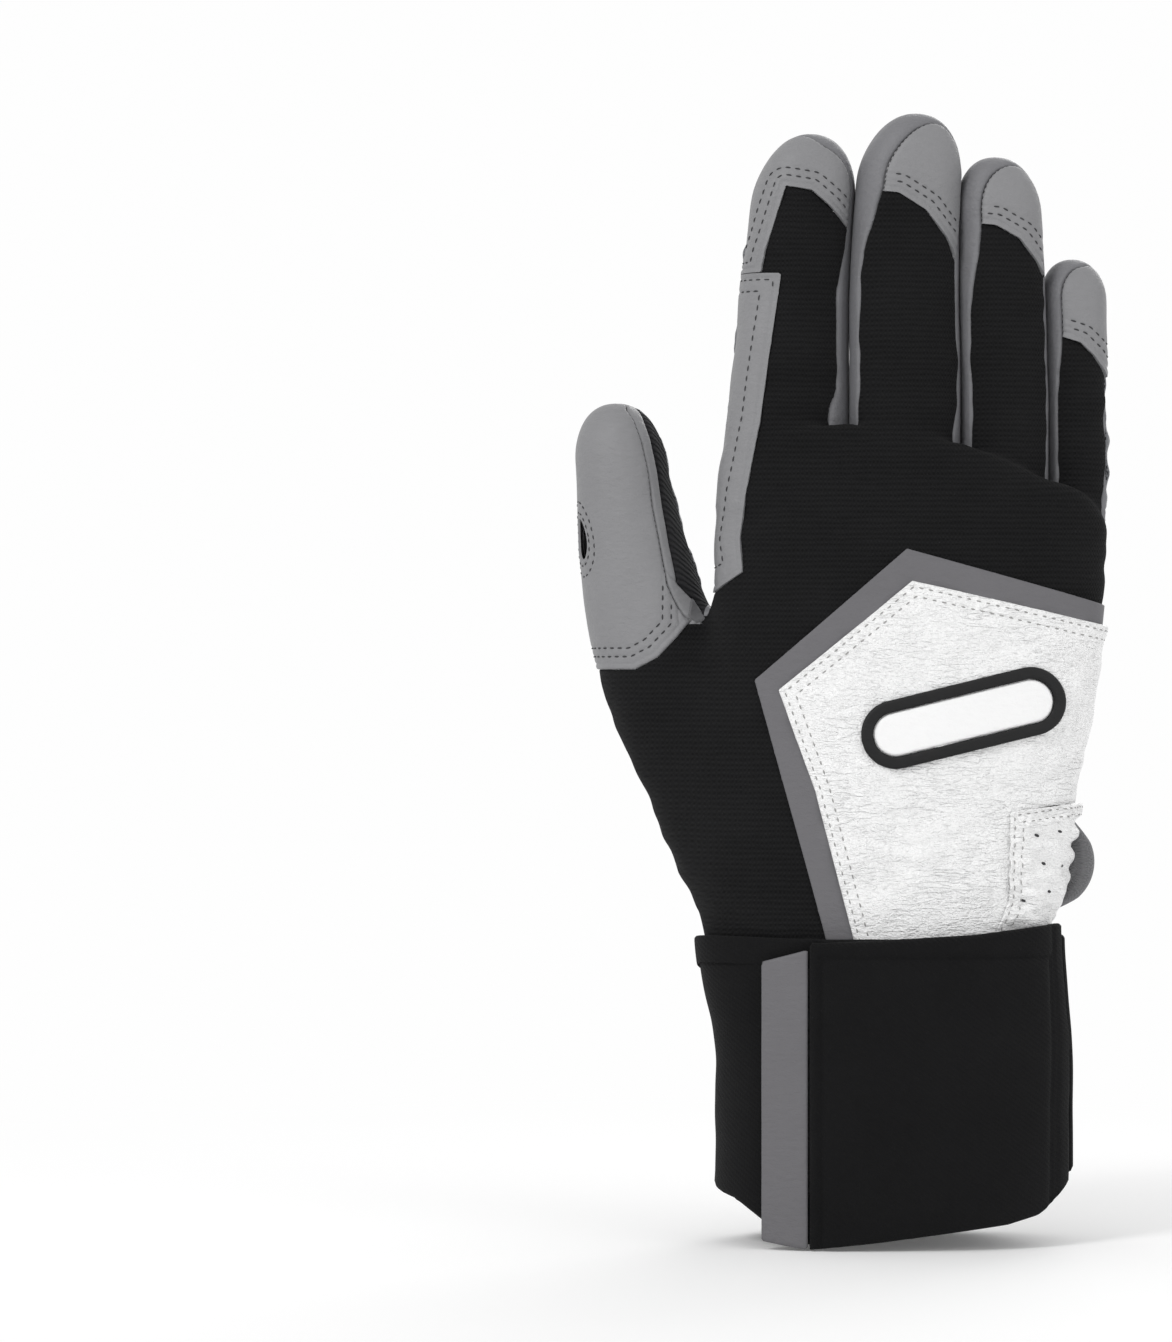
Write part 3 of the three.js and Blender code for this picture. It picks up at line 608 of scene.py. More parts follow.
def on_finger(points, name):
    """Positive where that finger is the nearest."""
    order = FINGER_NAMES.index(name)
    distances = finger_distances(points)
    others = np.delete(distances, order, 0).min(0)
    return (others - distances[order]) / 2


def knuckle_rise(points, name):
    """How far above the line of its hinge a place on a finger is, square to the slanted root."""
    y, z = ROOTS[name]
    return ((points[:, 2] - z) + ROOT_SLANT * (points[:, 1] - y)) / ROOT_SLANT_LENGTH


def thumb_rise(points):
    """The same on the thumb."""
    x, _, z = THUMB_ROOT
    return ((points[:, 2] - z) + THUMB_SLANT * (points[:, 0] - x)) / THUMB_SLANT_LENGTH


# From a panel of the surface to a finished piece. Data columns: base place, finished place, normal

WAVES = 26


def wrinkles(points, seed, amount, stretch, sizes):
    """A smooth sum of many waves, for skin that isn't quite even."""
    maker = np.random.default_rng(seed)
    total = np.zeros(len(points))
    for _ in range(WAVES):
        length = maker.uniform(*sizes)
        direction = unit(maker.normal(size=(1, 3)))[0] * np.array(stretch) * 2 * math.pi / length
        total += np.sin(points @ direction + maker.uniform(0, 6.28)) * length
    return total * amount / (math.sqrt(WAVES / 2) * np.mean(sizes))


def crease(points, path, depth, width):
    """A soft fold along a path in the x-z plane, with a swell on each side."""
    path = np.array(path, float)
    x, z = points[:, 0], points[:, 2]
    best = np.full(len(points), 1e9)
    along = np.zeros(len(points))
    for i, ((x0, z0), (x1, z1)) in enumerate(zip(path[:-1], path[1:])):
        dx, dz = x1 - x0, z1 - z0
        t = np.clip(((x - x0) * dx + (z - z0) * dz) / (dx * dx + dz * dz), 0, 1)
        d = np.hypot(x - x0 - t * dx, z - z0 - t * dz)
        along = np.where(d < best, (i + t) / (len(path) - 1), along)
        best = np.minimum(best, d)
    fade = np.sin(np.clip(along, 0.02, 0.98) * math.pi) ** 0.5
    profile = -np.exp(-((best / width) ** 2)) + 0.45 * np.exp(-(((best - 2 * width) / width) ** 2))
    return depth * fade * profile


SEAM_SHARES = [0.1, 0.4, 1.0]  # where the roll of a seam gets rows of points


def grooves(field, levels, depth, width):
    """Pressed lines along some levels of a field."""
    return [(field, level, depth, width) for level in levels]


def dressed(data, triangles, seams, lift=0.0, roll=0.9, relief=None, rows=()):
    """Lays a panel out: lifted, rolled down at its seams, wrinkled and pressed in along its rows."""
    for seam in seams:
        data, triangles = rowed(data, triangles, seam, [share * roll for share in SEAM_SHARES])
    for field, level, _, width in rows:
        data, triangles = rowed(data, triangles, field, [level - width, level, level + width])
    base = data[:, :3]
    height = np.full(len(base), float(lift))
    if seams:
        distance = np.clip(np.min([seam(base) for seam in seams], 0), 0, roll)
        height -= roll - np.sqrt(roll**2 - (roll - distance) ** 2)
    for field, level, depth, width in rows:
        height -= depth * bump(field(base), level, width)
    if relief is not None:
        height += relief(base)
    placed = base + unit(gradient_at(base)) * height[:, None]
    return np.hstack([base, placed, point_normals(placed, triangles)]), triangles


def mesh_object(name, points, triangles, corner_normals=None, rest=None):
    """A Blender object from arrays in millimetres of the glove's frame."""
    mesh = bpy.data.meshes.new(name)
    mesh.vertices.add(len(points))
    mesh.vertices.foreach_set("co", to_row(points).astype(np.float32).ravel())
    mesh.loops.add(triangles.size)
    mesh.loops.foreach_set("vertex_index", triangles.astype(np.int32).ravel())
    mesh.polygons.add(len(triangles))
    mesh.polygons.foreach_set("loop_start", np.arange(0, triangles.size, 3, dtype=np.int32))
    mesh.polygons.foreach_set("use_smooth", np.full(len(triangles), True))
    mesh.update(calc_edges=True)
    attribute = mesh.attributes.new("rest", "FLOAT_VECTOR", "POINT")
    attribute.data.foreach_set("vector", np.asarray(points if rest is None else rest, np.float32).ravel())
    if corner_normals is not None:
        mesh.normals_split_custom_set(corner_normals.astype(np.float32))
    piece = bpy.data.objects.new(name, mesh)
    bpy.context.scene.collection.objects.link(piece)
    return piece


def shell(name, data, triangles, thickness=SHEET):
    """A closed sheet: the panel, its inner face and the edge between them."""
    data, triangles = compact(data, triangles)
    base, outer, normals = data[:, :3], data[:, 3:6], unit(data[:, 6:9])
    rim, everything = sheet_triangles(triangles, len(outer))
    points = np.concatenate([outer, outer - normals * thickness])
    p, q, r = (points[rim[:, i]] for i in range(3))
    rim_normals = np.repeat(unit(np.cross(q - p, r - p)), 3, axis=0)
    face_normals, back_normals = normals[triangles.ravel()], -normals[triangles[:, ::-1].ravel()]
    corner_normals = np.concatenate([face_normals, back_normals, rim_normals])
    return mesh_object(name, points, everything, corner_normals, np.concatenate([base, base]))


def tube_triangles(rings, sides):
    """The triangles of a closed tube whose points lie in rings, with a fan at each end."""
    triangles = []
    for ring in range(rings - 1):
        for k in range(sides):
            a, b = ring * sides + k, ring * sides + (k + 1) % sides
            triangles += [(a, b, b + sides), (a, b + sides, a + sides)]
    last = (rings - 1) * sides
    for k in range(1, sides - 1):
        triangles += [(0, k + 1, k), (last, last + k, last + k + 1)]
    return np.array(triangles)


# Which body each part of a panel belongs to

def finger_zone(name):
    """Positive on what belongs to a finger, and not on the thumb, whose tip is as high."""
    def zone(points):
        above = knuckle_rise(points, name) - FINGER_BEND[0]
        off_thumb = (THUMB.distance(*points.T) - finger_distances(points).min(0)) / 2
        return np.min([above, on_finger(points, name), off_thumb], 0)

    return zone


def thumb_zone(points):
    """Positive on the part of a panel that belongs to the thumb."""
    return np.minimum(thumb_rise(points) - THUMB_BEND[0], nearer_thumb(points) / 2)


def bend_with(piece, body):
    """Joins the piece to the hand's or the strap's body; a piece of any other body only gets its transform
    baked.
    """
    if body in ("hand", "strap"):
        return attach(piece, body)
    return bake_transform(piece)


def by_body(data, triangles):
    """Splits a finished panel into the part of each body."""
    parts = {}
    for name in FINGER_NAMES:
        data, inside, triangles = cut(data, triangles, finger_zone(name)(data[:, :3]))
        if len(inside):
            parts[name + "_finger"] = compact(data, inside)
    data, inside, triangles = cut(data, triangles, thumb_zone(data[:, :3]))
    if len(inside):
        parts["thumb"] = compact(data, inside)
    if len(triangles):
        parts["hand"] = compact(data, triangles)
    return parts


# Materials by name: empty at first, and given their nodes by make_look near the end

MATERIALS = {}


def material(name):
    """The material of that name, made when it is first asked for."""
    if name not in MATERIALS:
        MATERIALS[name] = bpy.data.materials.new(name)
        MATERIALS[name].use_nodes = True
    return MATERIALS[name]


def finish(piece, look, body=None, nodes=()):
    """Gives a piece its material and slot, joins it to its body if that is the hand or the strap, and hides
    the CAD nodes it stands for.
    """
    piece.data.materials.append(material(look))
    if body is not None:
        bend_with(piece, body)
    if nodes:
        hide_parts(*nodes)
    return piece


def add_panel(label, look, slot, data, triangles, node_names, thickness=SHEET):
    """Makes one object per body out of a finished panel. node_names gives each body's CAD node."""
    for body, (part, part_triangles) in by_body(data, triangles).items():
        node = node_names.get(body)
        piece_name = (node if node else f"{body}_{label}") + "_skin"
        piece = shell(piece_name, part, part_triangles, thickness)
        finish(piece, look, body, [node] if node else [])


# The glove's skin, cut into its panels

surface, surface_triangles = glove_surface()
surface, surface_triangles = kept(surface, surface_triangles, lambda p: p[:, 2], HAND_BOTTOM)


def cap_depth(points, name):
    """How far inside the outline of a finger's cap a place is."""
    return outline_depth(points, cap_outline(name))


def any_cap(points):
    """Positive on the tip caps."""
    return np.max([np.minimum(cap_depth(points, name), on_finger(points, name)) for name in FINGER_NAMES], 0)


def thumb_side(points):
    """Positive on the thumb, negative on the hand."""
    return np.minimum(nearer_thumb(points) / 2, points[:, 2] - 140)


def thumb_back(points):
    """Positive on the thumb's back leather."""
    v = THUMB.local(*points.T)[1]
    return np.minimum(outline_depth(points, THUMB_BACK_OUTLINE), -v - 2.5)


def wrap(points):
    """Positive on the leather that wraps the index finger's outer side."""
    return np.minimum(outline_depth(points, WRAP_OUTLINE), -thumb_side(points))


def knit_zone(points):
    """The back of the hand and what is left of the wrist, but nothing beside the thumb's back leather."""
    beside_thumb = np.maximum(points[:, 2] - 158, outline_depth(points, THUMB_BACK_OUTLINE))
    back_or_low = np.maximum(back_field(points), 160 - points[:, 2])
    return np.minimum(back_or_low, -np.minimum(thumb_side(points), beside_thumb))


(palm, palm_triangles), rest_of_it = split(surface, surface_triangles, palm_field)
(thumb_leather, thumb_leather_triangles), rest_of_it = split(*rest_of_it, thumb_back)
(side, side_triangles), rest_of_it = split(*rest_of_it, wrap)
(back, back_triangles), sides = split(*rest_of_it, knit_zone)
(caps, caps_triangles), (knit, knit_triangles) = split(back, back_triangles, any_cap)
(thumb_strips, thumb_strips_triangles), (strips, strips_triangles) = split(*sides, thumb_side)

# The folds of the palm leather: a path in the x-z plane, its depth and its width
PALM_FOLDS = [
    ([(25.3, 181.7), (33.2, 172.8), (40.7, 165.8), (45.7, 160.8)], 1.3, 1.6),
    ([(8.7, 190.3), (13.8, 183.3), (18.8, 177.8), (25.8, 172.3)], 1.1, 1.6),
    ([(30.5, 186.5), (27.5, 180.0), (22.5, 174.0)], 0.8, 1.3),
    ([(18.5, 190.3), (16.5, 184.8), (12.5, 180)], 0.7, 1.2),
    ([(-9.5, 190), (-6.5, 184.8), (-1.0, 180.5), (6, 177)], 0.6, 1.4),
    ([(-14, 181), (-4, 176), (8, 175)], 0.6, 2.2),
    ([(-34, 150), (-28, 138), (-26, 124), (-29, 110)], 0.7, 2.5),
    ([(-44, 132), (-38, 122), (-35, 112)], 0.55, 2.0),
    ([(-22, 224), (-15, 222), (-8, 219)], 0.5, 1.6),
    ([(-4, 229), (2, 225), (10.5, 219.5)], 0.8, 1.5),
    ([(-3, 207), (3, 204), (10, 205)], 0.5, 1.6),
    ([(18, 217), (26, 214), (34, 213)], 0.6, 1.6),
    ([(21, 197), (28, 193), (35, 195)], 0.6, 1.5),
    ([(38, 200), (46, 198), (54, 199)], 0.5, 1.6),
    ([(-40, 80), (-20, 86), (2, 82)], 0.5, 2.2),
]


def folded(points, height, folds):
    """A relief with some folds added to it."""
    for path, depth, width in folds:
        height = height + crease(points, path, depth, width)
    return height


def palm_relief(points):
    return folded(points, wrinkles(points, 11, 0.26, (1, 1, 1.6), sizes=(4, 16)), PALM_FOLDS)


def knit_relief(points):
    return wrinkles(points, 5, 0.14, (0.5, 1, 1.8), sizes=(5, 18))


def smooth_relief(points):
    return wrinkles(points, 23, 0.08, (1, 1, 0.8), sizes=(5, 18))


# Stitches: little raised threads in rows along the lines where a field has some level

THREADS = {}
CAPSULE = [(-1.0, 0.3), (-0.8, 0.8), (-0.3, 1.0), (0.3, 1.0), (0.8, 0.8), (1.0, 0.3)]  # shares along and out
CAPSULE_SIDES = 6
STITCH_SINK = 0.3  # how much deeper a stitch's ends lie than its middle


def body_of(points):
    """The body that each place belongs to."""
    names = np.full(len(points), "hand", dtype=object)
    for name in FINGER_NAMES:
        names[finger_zone(name)(points) > 0] = name + "_finger"
    names[(thumb_zone(points) > 0) & (names == "hand")] = "thumb"
    return names


def level_lines(data, triangles, values):
    """The lines on a surface where the values are zero, as chains of interpolated rows."""
    side = values > 0
    corner = side[triangles]
    crossing = triangles[corner.any(1) & ~corner.all(1)]
    links, rows = {}, {}
    for tri in crossing:
        ends = []
        for i, j in ((0, 1), (1, 2), (2, 0)):
            a, b = sorted((int(tri[i]), int(tri[j])))
            if side[a] != side[b]:
                if (a, b) not in rows:
                    t = values[a] / (values[a] - values[b])
                    rows[a, b] = data[a] * (1 - t) + data[b] * t
                ends.append((a, b))
        for one, other in ((0, 1), (1, 0)):
            links.setdefault(ends[one], []).append(ends[other])
    chains = []
    left = set(links)
    while left:
        start = next((key for key in left if len(links[key]) == 1), None) or next(iter(left))
        chain, key = [start], start
        left.discard(start)
        while True:
            key = next((k for k in links[key] if k in left), None)
            if key is None:
                break
            left.discard(key)
            chain.append(key)
        if len(chain) > 3:
            chains.append(np.array([rows[key] for key in chain]))
    return chains


DIRECTION_REACH = 0.6  # how far ahead and behind a line's direction is taken


def along(chain, pitch):
    """Rows at even steps along a chain, and the direction there."""
    place = chain[:, 3:6]
    length = np.concatenate([[0], np.cumsum(np.linalg.norm(np.diff(place, axis=0), axis=1))])
    steps = np.arange(pitch / 2, length[-1], pitch)
    found = np.stack([np.interp(steps, length, chain[:, k]) for k in range(chain.shape[1])], 1)
    ahead = np.stack([np.interp(steps + DIRECTION_REACH, length, place[:, k]) for k in range(3)], 1)
    behind = np.stack([np.interp(steps - DIRECTION_REACH, length, place[:, k]) for k in range(3)], 1)
    return found, unit(ahead - behind)


def sew(data, triangles, field, levels, look, where=None, pitch=2.7, size=(1.9, 0.42), proud=0.12):
    """Rows of stitches on a finished panel, one along each level of a field."""
    values = field(data[:, :3])
    chains = []
    for level in levels:
        chains += level_lines(data, triangles, values - level)
    for chain in chains:
        found, tangent = along(chain, pitch)
        if where is not None and len(found):
            keep = where(found[:, :3]) > 0
            found, tangent = found[keep], tangent[keep]
        if not len(found):
            continue
        normal = unit(found[:, 6:9])
        centre = found[:, 3:6] + normal * proud
        owners = body_of(found[:, :3])
        for owner in sorted(set(owners)):
            chosen = owners == owner
            group = centre[chosen], tangent[chosen], normal[chosen], size
            THREADS.setdefault((look, owner), []).append(group)


def stitch_points(centre, tangent, normal, size):
    """The points of some stitches, a row of them for each stitch."""
    length, width = size
    across = unit(np.cross(normal, tangent))
    columns = []
    for t, r in CAPSULE:
        for k in range(CAPSULE_SIDES):
            angle = 2 * math.pi * k / CAPSULE_SIDES
            outward = math.cos(angle) * across + math.sin(angle) * normal
            sink = normal * (STITCH_SINK * t * t)
            columns.append(centre + tangent * (t * length / 2) - sink + outward * (r * width / 2))
    return np.stack(columns, 1)


def make_threads():
    """One object for all stitches of one colour on one body."""
    one_stitch = tube_triangles(len(CAPSULE), CAPSULE_SIDES)
    for (look, owner), groups in THREADS.items():
        points = np.concatenate([stitch_points(*group) for group in groups])
        starts = np.arange(len(points))[:, None, None] * points.shape[1]
        triangles = (starts + one_stitch).reshape(-1, 3)
        piece = mesh_object(f"{owner}_{look}".replace(" ", "_"), points.reshape(-1, 3), triangles)
        finish(piece, look, owner)


# The finished panels and their stitches

def names_by_body(ending, **others):
    """The CAD nodes of a panel by body: one for each finger, and others."""
    return {f"{n}_finger": f"{n}_{ending}" for n in FINGER_NAMES} | others


palm_done = dressed(palm, palm_triangles, [palm_field], relief=palm_relief)
palm_nodes = names_by_body("palm_side", hand="palm_leather", thumb="thumb_palm_side")
add_panel("palm", "palm leather", "palm_leather", *palm_done, palm_nodes)

knit_edges = [outside(palm_field), outside(thumb_back), outside(wrap), outside(any_cap)]
knit_done = dressed(knit, knit_triangles, knit_edges, relief=knit_relief, roll=0.5)
add_panel("knit", "knit", "knit", *knit_done, names_by_body("back_knit", hand="hand_back_knit"))


def cap_hem(points):
    """Distance from a cap's edge on the knit."""
    return np.max([cap_depth(points, name) * (on_finger(points, name) > 0) for name in FINGER_NAMES], 0)


def inside_cap(points):
    """Positive on a cap, a little away from its seams."""
    return np.min([-palm_field(points), back_field(points)], 0) - 1.2


CAP_STITCHES = (2.7, 4.6)
cap_rows = grooves(cap_hem, [1.3], 0.3, 0.35) + grooves(cap_hem, CAP_STITCHES, 0.16, 0.5)
cap_seams = [outside(palm_field), back_field]
caps_done = dressed(caps, caps_triangles, cap_seams, lift=0.55, relief=smooth_relief, rows=cap_rows)
add_panel("cap", "smooth leather", "smooth_leather", *caps_done, names_by_body("tip_cap"))
sew(*caps_done, cap_hem, CAP_STITCHES, "dark thread", where=inside_cap, pitch=2.5, size=(1.6, 0.4))


def wrap_edge(points):
    return outline_depth(points, WRAP_OUTLINE)


def off_palm(points):
    """Positive a little away from the palm leather."""
    return -palm_field(points) - 1.5


def wrap_top(points):
    """Positive along the upper edge of the wrap."""
    return np.minimum(off_palm(points), points[:, 2] - 243)


WRAP_STITCHES = [4.6]
WRAP_TOP_STITCHES = [1.7]
wrap_rows = grooves(wrap_edge, [1.2], 0.2, 0.35) + grooves(wrap_edge, WRAP_STITCHES, 0.2, 0.5)
side_seams = [outside(palm_field)]
side_done = dressed(side, side_triangles, side_seams, lift=0.5, relief=smooth_relief, rows=wrap_rows)
side_nodes = {"hand": "index_side_wrap", "index_finger": "index_outer_side"}
add_panel("wrap", "smooth leather", "smooth_leather", *side_done, side_nodes)
sew(*side_done, wrap_edge, WRAP_STITCHES, "dark thread", where=off_palm, pitch=2.6, size=(1.7, 0.4))
sew(*side_done, wrap_edge, WRAP_TOP_STITCHES, "dark thread", where=wrap_top, pitch=2.4, size=(1.5, 0.36))

# The thumb's back leather, with an oval vent in its outer side
THUMB_HEM_OUTLINE = [(-51.5, 159.5), *THUMB_HEM_EDGE, (-120, 146), (-120, 240), (-51.5, 240)]
THUMB_RADIUS = 13.0
VENT_AROUND = 8.4  # from the thumb's outer side round to the middle of the vent
VENT_HEIGHT = 180.0
VENT_HALF_WIDTH = 3.2
VENT_HALF_HEIGHT = 5.2


def thumb_hem(points):
    """Distance above the lower edge of the thumb's back leather."""
    return outline_depth(points, THUMB_HEM_OUTLINE)


def vent_distance(points):
    """Roughly how far a place on the thumb is from the rim of the vent."""
    u, v = THUMB.local(*points.T)
    around = np.arctan2(-v, -u) * THUMB_RADIUS - VENT_AROUND
    d = np.hypot(around / VENT_HALF_WIDTH, (points[:, 2] - VENT_HEIGHT) / VENT_HALF_HEIGHT)
    return (d - 1) * (VENT_HALF_WIDTH + 0.35 * (VENT_HALF_HEIGHT - VENT_HALF_WIDTH))


def on_thumb_back(points):
    """Positive on the thumb's back leather, a little away from its seam."""
    return thumb_back(points) - 1.0


THUMB_STITCHES = (3.4, 5.6)
VENT_STITCHES = (1.3, 3.4)
thumb_leather, thumb_leather_triangles = kept(thumb_leather, thumb_leather_triangles, vent_distance)
thumb_rows = grooves(thumb_hem, [1.6], 0.25, 0.35) + grooves(thumb_hem, THUMB_STITCHES, 0.16, 0.5)
thumb_rows += grooves(vent_distance, VENT_STITCHES, 0.16, 0.4)
thumb_done = dressed(thumb_leather, thumb_leather_triangles, [thumb_back, vent_distance],
                     lift=0.3, roll=0.7, relief=smooth_relief, rows=thumb_rows)
add_panel("thumb_leather", "smooth leather", "smooth_leather", *thumb_done, {"thumb": "thumb_back_leather"})
sew(*thumb_done, thumb_hem, THUMB_STITCHES, "dark thread", where=on_thumb_back, pitch=2.5, size=(1.6, 0.4))
sew(
    *thumb_done, vent_distance, VENT_STITCHES, "dark thread",
    where=on_thumb_back, pitch=2.2, size=(1.4, 0.36))

# The side strips of the fingers and of the thumb
STRIP_FULLNESS = 0.4
STRIP_CLEARANCE = 0.03
STRIP_NAMES = {
    "index": [("index_little_side_fourchette", None)],
    "middle": [("middle_thumb_side_fourchette", -1), ("middle_little_side_fourchette", 1)],
    "ring": [("ring_thumb_side_fourchette", -1), ("ring_little_side_fourchette", 1)],
    "little": [("little_thumb_side_fourchette", None)],
}


def strip_relief(points):
    """The side strips are full in the middle, so that they nearly touch the next finger's."""
    fullness = np.clip(1 - (side_value(points) / 7.0) ** 2, 0, 1)
    own, other = np.sort(finger_distances(points), 0)[:2]
    swell = STRIP_FULLNESS * fullness + np.clip(-own, 0, FINGER_GAP / 2)
    height = swell + wrinkles(points, 29, 0.04, (1, 1, 0.8), sizes=(5, 18))
    return np.minimum(height, np.maximum((other - own) / 2, FINGER_GAP / 2) - STRIP_CLEARANCE)


strip_seams = [outside(palm_field), outside(back_field)]
strips_done = dressed(strips, strips_triangles, strip_seams, roll=1.1, relief=strip_relief)
for body, (part, part_triangles) in by_body(*strips_done).items():
    finger = body.split("_")[0]
    for node, side_sign in STRIP_NAMES.get(finger, [(None, None)]):
        half, half_triangles = part, part_triangles
        if side_sign is not None:
            across = FINGERS[finger].local
            half, half_triangles = kept(part, part_triangles, lambda p: across(*p.T)[0] * side_sign)
        piece = shell((node or f"{body}_webs") + "_skin", half, half_triangles)
        finish(piece, "side leather", body, [node] if node else [])


EDGE_STRIP = 2.8
WEB_KITE = [(-58.4, 171.8), (-56.4, 171.8), (-47.9, 163.6), (-47.0, 160), (-49.1, 157), (-56, 157)]


def thumb_across(points):
    """How far across the thumb, towards the fingers, a place is."""
    return THUMB.local(*points.T)[0]


def kite_edge(points):
    return outline_depth(points, WEB_KITE)


def edge_field(points):
    """The thin strip beside the thumb's back leather, wider where the kite of the web begins."""
    return np.maximum(EDGE_STRIP + outline_depth(points, THUMB_BACK_OUTLINE), kite_edge(points))


def edge_zone(points):
    return np.minimum(edge_field(points), thumb_across(points) + 2)


thumb_strips, thumb_strips_triangles = kept(thumb_strips, thumb_strips_triangles, vent_distance)
(edge_strip, edge_strip_triangles), (ribbed, ribbed_triangles) = split(
    thumb_strips, thumb_strips_triangles, edge_zone)
edge_done = dressed(edge_strip, edge_strip_triangles, [outside(thumb_back), edge_field],
                    relief=smooth_relief, rows=grooves(kite_edge, [0.0], 0.3, 0.35))
add_panel("thumb_edge", "smooth leather", "smooth_leather", *edge_done, {})
for label, sign, look, slot, back_seams in (
    ("inner_strip", 1, "ribbed knit", "knit", [outside(edge_field)]),
    ("outer_strip", -1, "side leather", "smooth_leather", [outside(thumb_back), vent_distance]),
):
    half, half_triangles = kept(ribbed, ribbed_triangles, lambda p: thumb_across(p) * sign)
    done = dressed(half, half_triangles, [outside(palm_field)] + back_seams, roll=0.8, relief=smooth_relief)
    add_panel(label, look, slot, *done, {"thumb": f"thumb_{label}"})


# The thread that shows in the seams of the fingers and the thumb, coloured near black as painted shade in
# the seam grooves

SEAM_LEVELS = [0.15]
SEAM_THREAD = {"pitch": 1.5, "size": (1.7, 0.34), "proud": -0.05}
OUTER_SEAM_RISE = 60  # on the index finger's outer side the thread shows from this much higher up


def seam_in_sight(points):
    """Positive where the seams of the palm leather show their thread, which is near black as painted shade.
    """
    above_web = points[:, 2] - web_height(points[:, 0], points[:, 1]) + 4
    above_web = above_web - OUTER_SEAM_RISE * (outer_sides(points)[0] > 0.5)
    on_thumb = np.minimum(thumb_side(points), points[:, 2] - 166)
    return np.maximum(above_web, on_thumb)


def thumb_seam_in_sight(points):
    return np.minimum(points[:, 2] - 162, vent_distance(points) - 1)


sew(*palm_done, palm_field, SEAM_LEVELS, "seam thread", where=seam_in_sight, **SEAM_THREAD)
sew(*caps_done, back_field, SEAM_LEVELS, "seam thread", **SEAM_THREAD)
sew(*thumb_done, thumb_back, SEAM_LEVELS, "seam thread", where=thumb_seam_in_sight, **SEAM_THREAD)

# Patches sewn on top of the skin

UNDERLAY = [(4.6, 176.9), (54.4, 163.1), (80, 156), (80, 70), (-13.8, 70), (-15.9, 77.4), (-33.8, 143.6)]
BACK_PATCH = [
    (5.9, 168.7), (54.4, 157.7), (80, 152), (80, 70), (-7, 70), (-9.2, 78.2), (-18.7, 115.6), (-27.7, 141.0),
]
GATHER = [(30, 110.2), (47.4, 112.8), (80, 116), (80, 70), (24.5, 70), (26.7, 81.8), (29.5, 87.7)]
HEEL_PATCH = [
    (80, 148), (53, 152.5), (40, 155.6), (25, 159.2), (11.7, 161.4), (7.5, 161.0), (4.4, 159), (1.2, 156),
    (-1, 153), (-0.9, 148.6), (0.5, 144.6), (4, 139.6), (8.1, 135.2), (14.2, 129.2), (20.6, 122.7),
    (20.2, 119), (17.2, 112.8), (13, 103.7), (11.5, 95), (13, 84.9), (13.6, 69.5), (13.8, 60), (80, 60),
]
GATHER_SLOTS = [
    (36.4, 104.4), (41.8, 105.4), (46.2, 107.4), (38.2, 97.2), (42.6, 96.7), (39.5, 90.3), (32.8, 87.9),
]
UNDERLAY_THICKNESS = 0.6
PATCH_THICKNESS = 0.75
HEEL_THICKNESS = 0.95
GUSSET_LIFT = 0.5
GUSSET_THICKNESS = 0.6

BACK_FOLDS = [
    ([(-12, 112), (0, 109), (14, 110)], 0.6, 1.1),
    ([(-8, 104), (6, 101), (24, 106)], 0.7, 1.2),
    ([(20, 100), (26, 93), (27, 84)], 0.6, 1.3),
    ([(0, 98), (12, 93), (20, 94)], 0.5, 1.0),
    ([(44, 122), (48, 134), (51, 146)], 0.55, 1.1),
    ([(38, 117), (44, 120), (50, 126)], 0.5, 0.9),
]
HEEL_FOLDS = [
    ([(48, 118), (36, 121), (27, 118)], 0.4, 1.8),
    ([(46, 101), (34, 103), (24, 100)], 0.4, 1.8),
    ([(44, 92), (34, 95), (22, 93)], 0.3, 1.5),
    ([(44, 141), (34, 139), (26, 134)], 0.3, 2.0),
]


def on_top(outline, side_field, low, thickness, rows=(), relief=None, roll=0.3):
    """A patch over the skin, cut to an outline in the x-z plane on one side of the hand."""
    def inside(points):
        return np.minimum(outline_depth(points, outline), side_field(points))

    data, triangles = kept(surface, surface_triangles, inside)
    return dressed(data, triangles, [inside], lift=low + thickness, roll=roll, relief=relief, rows=rows)


def add_top(name, look, made, node, thickness=PATCH_THICKNESS):
    """The patch as a piece on the hand."""
    piece = shell(name, *made, thickness)
    return finish(piece, look, "hand", [node])


def back_side(points):
    return 1.4 - points[:, 1]


def palm_side(points):
    return points[:, 1] - 2.0


def back_patch_edge(points):
    return outline_depth(points, BACK_PATCH)


def gather_edge(points):
    return outline_depth(points, GATHER)


def heel_edge(points):
    return outline_depth(points, HEEL_PATCH)


def patch_relief(points):
    """Wrinkles and folds, but flat under the gathered panel and at the edges."""
    height = folded(points, wrinkles(points, 31, 0.2, (1, 1, 1.3), sizes=(4, 15)), BACK_FOLDS)
    return np.maximum(height, -0.55) * (1 - smooth_step(gather_edge(points), -2.5, 0.5))


def gather_relief(points):
    """Gathers, with a pit and a swell round each slot."""
    height = wrinkles(points, 37, 0.45, (1, 1, 1.5), sizes=(4, 10))
    for x, z in GATHER_SLOTS:
        distance = np.hypot(points[:, 0] - x, points[:, 2] - z)
        height = height - 0.9 * bump(distance, 0, 1.4) + 0.4 * bump(distance, 3, 1.6)
    return np.clip(height, -0.45, 1.1)


def heel_relief(points):
    height = folded(points, wrinkles(points, 41, 0.14, (1, 1, 1.3), sizes=(4, 16)), HEEL_FOLDS)
    return np.maximum(height, -0.45)


underlay_made = on_top(UNDERLAY, back_side, 0.1, UNDERLAY_THICKNESS)
add_top("underlay_trim", "trim", underlay_made, "back_patch_underlay", UNDERLAY_THICKNESS)

PATCH_STITCHES = (1.4, 3.7)
patch_rows = grooves(back_patch_edge, PATCH_STITCHES, 0.2, 0.5)
patch_made = on_top(BACK_PATCH, back_side, 0.75, PATCH_THICKNESS, patch_rows, patch_relief, 0.45)
add_top("back_patch_leather", "white leather", patch_made, "back_patch")

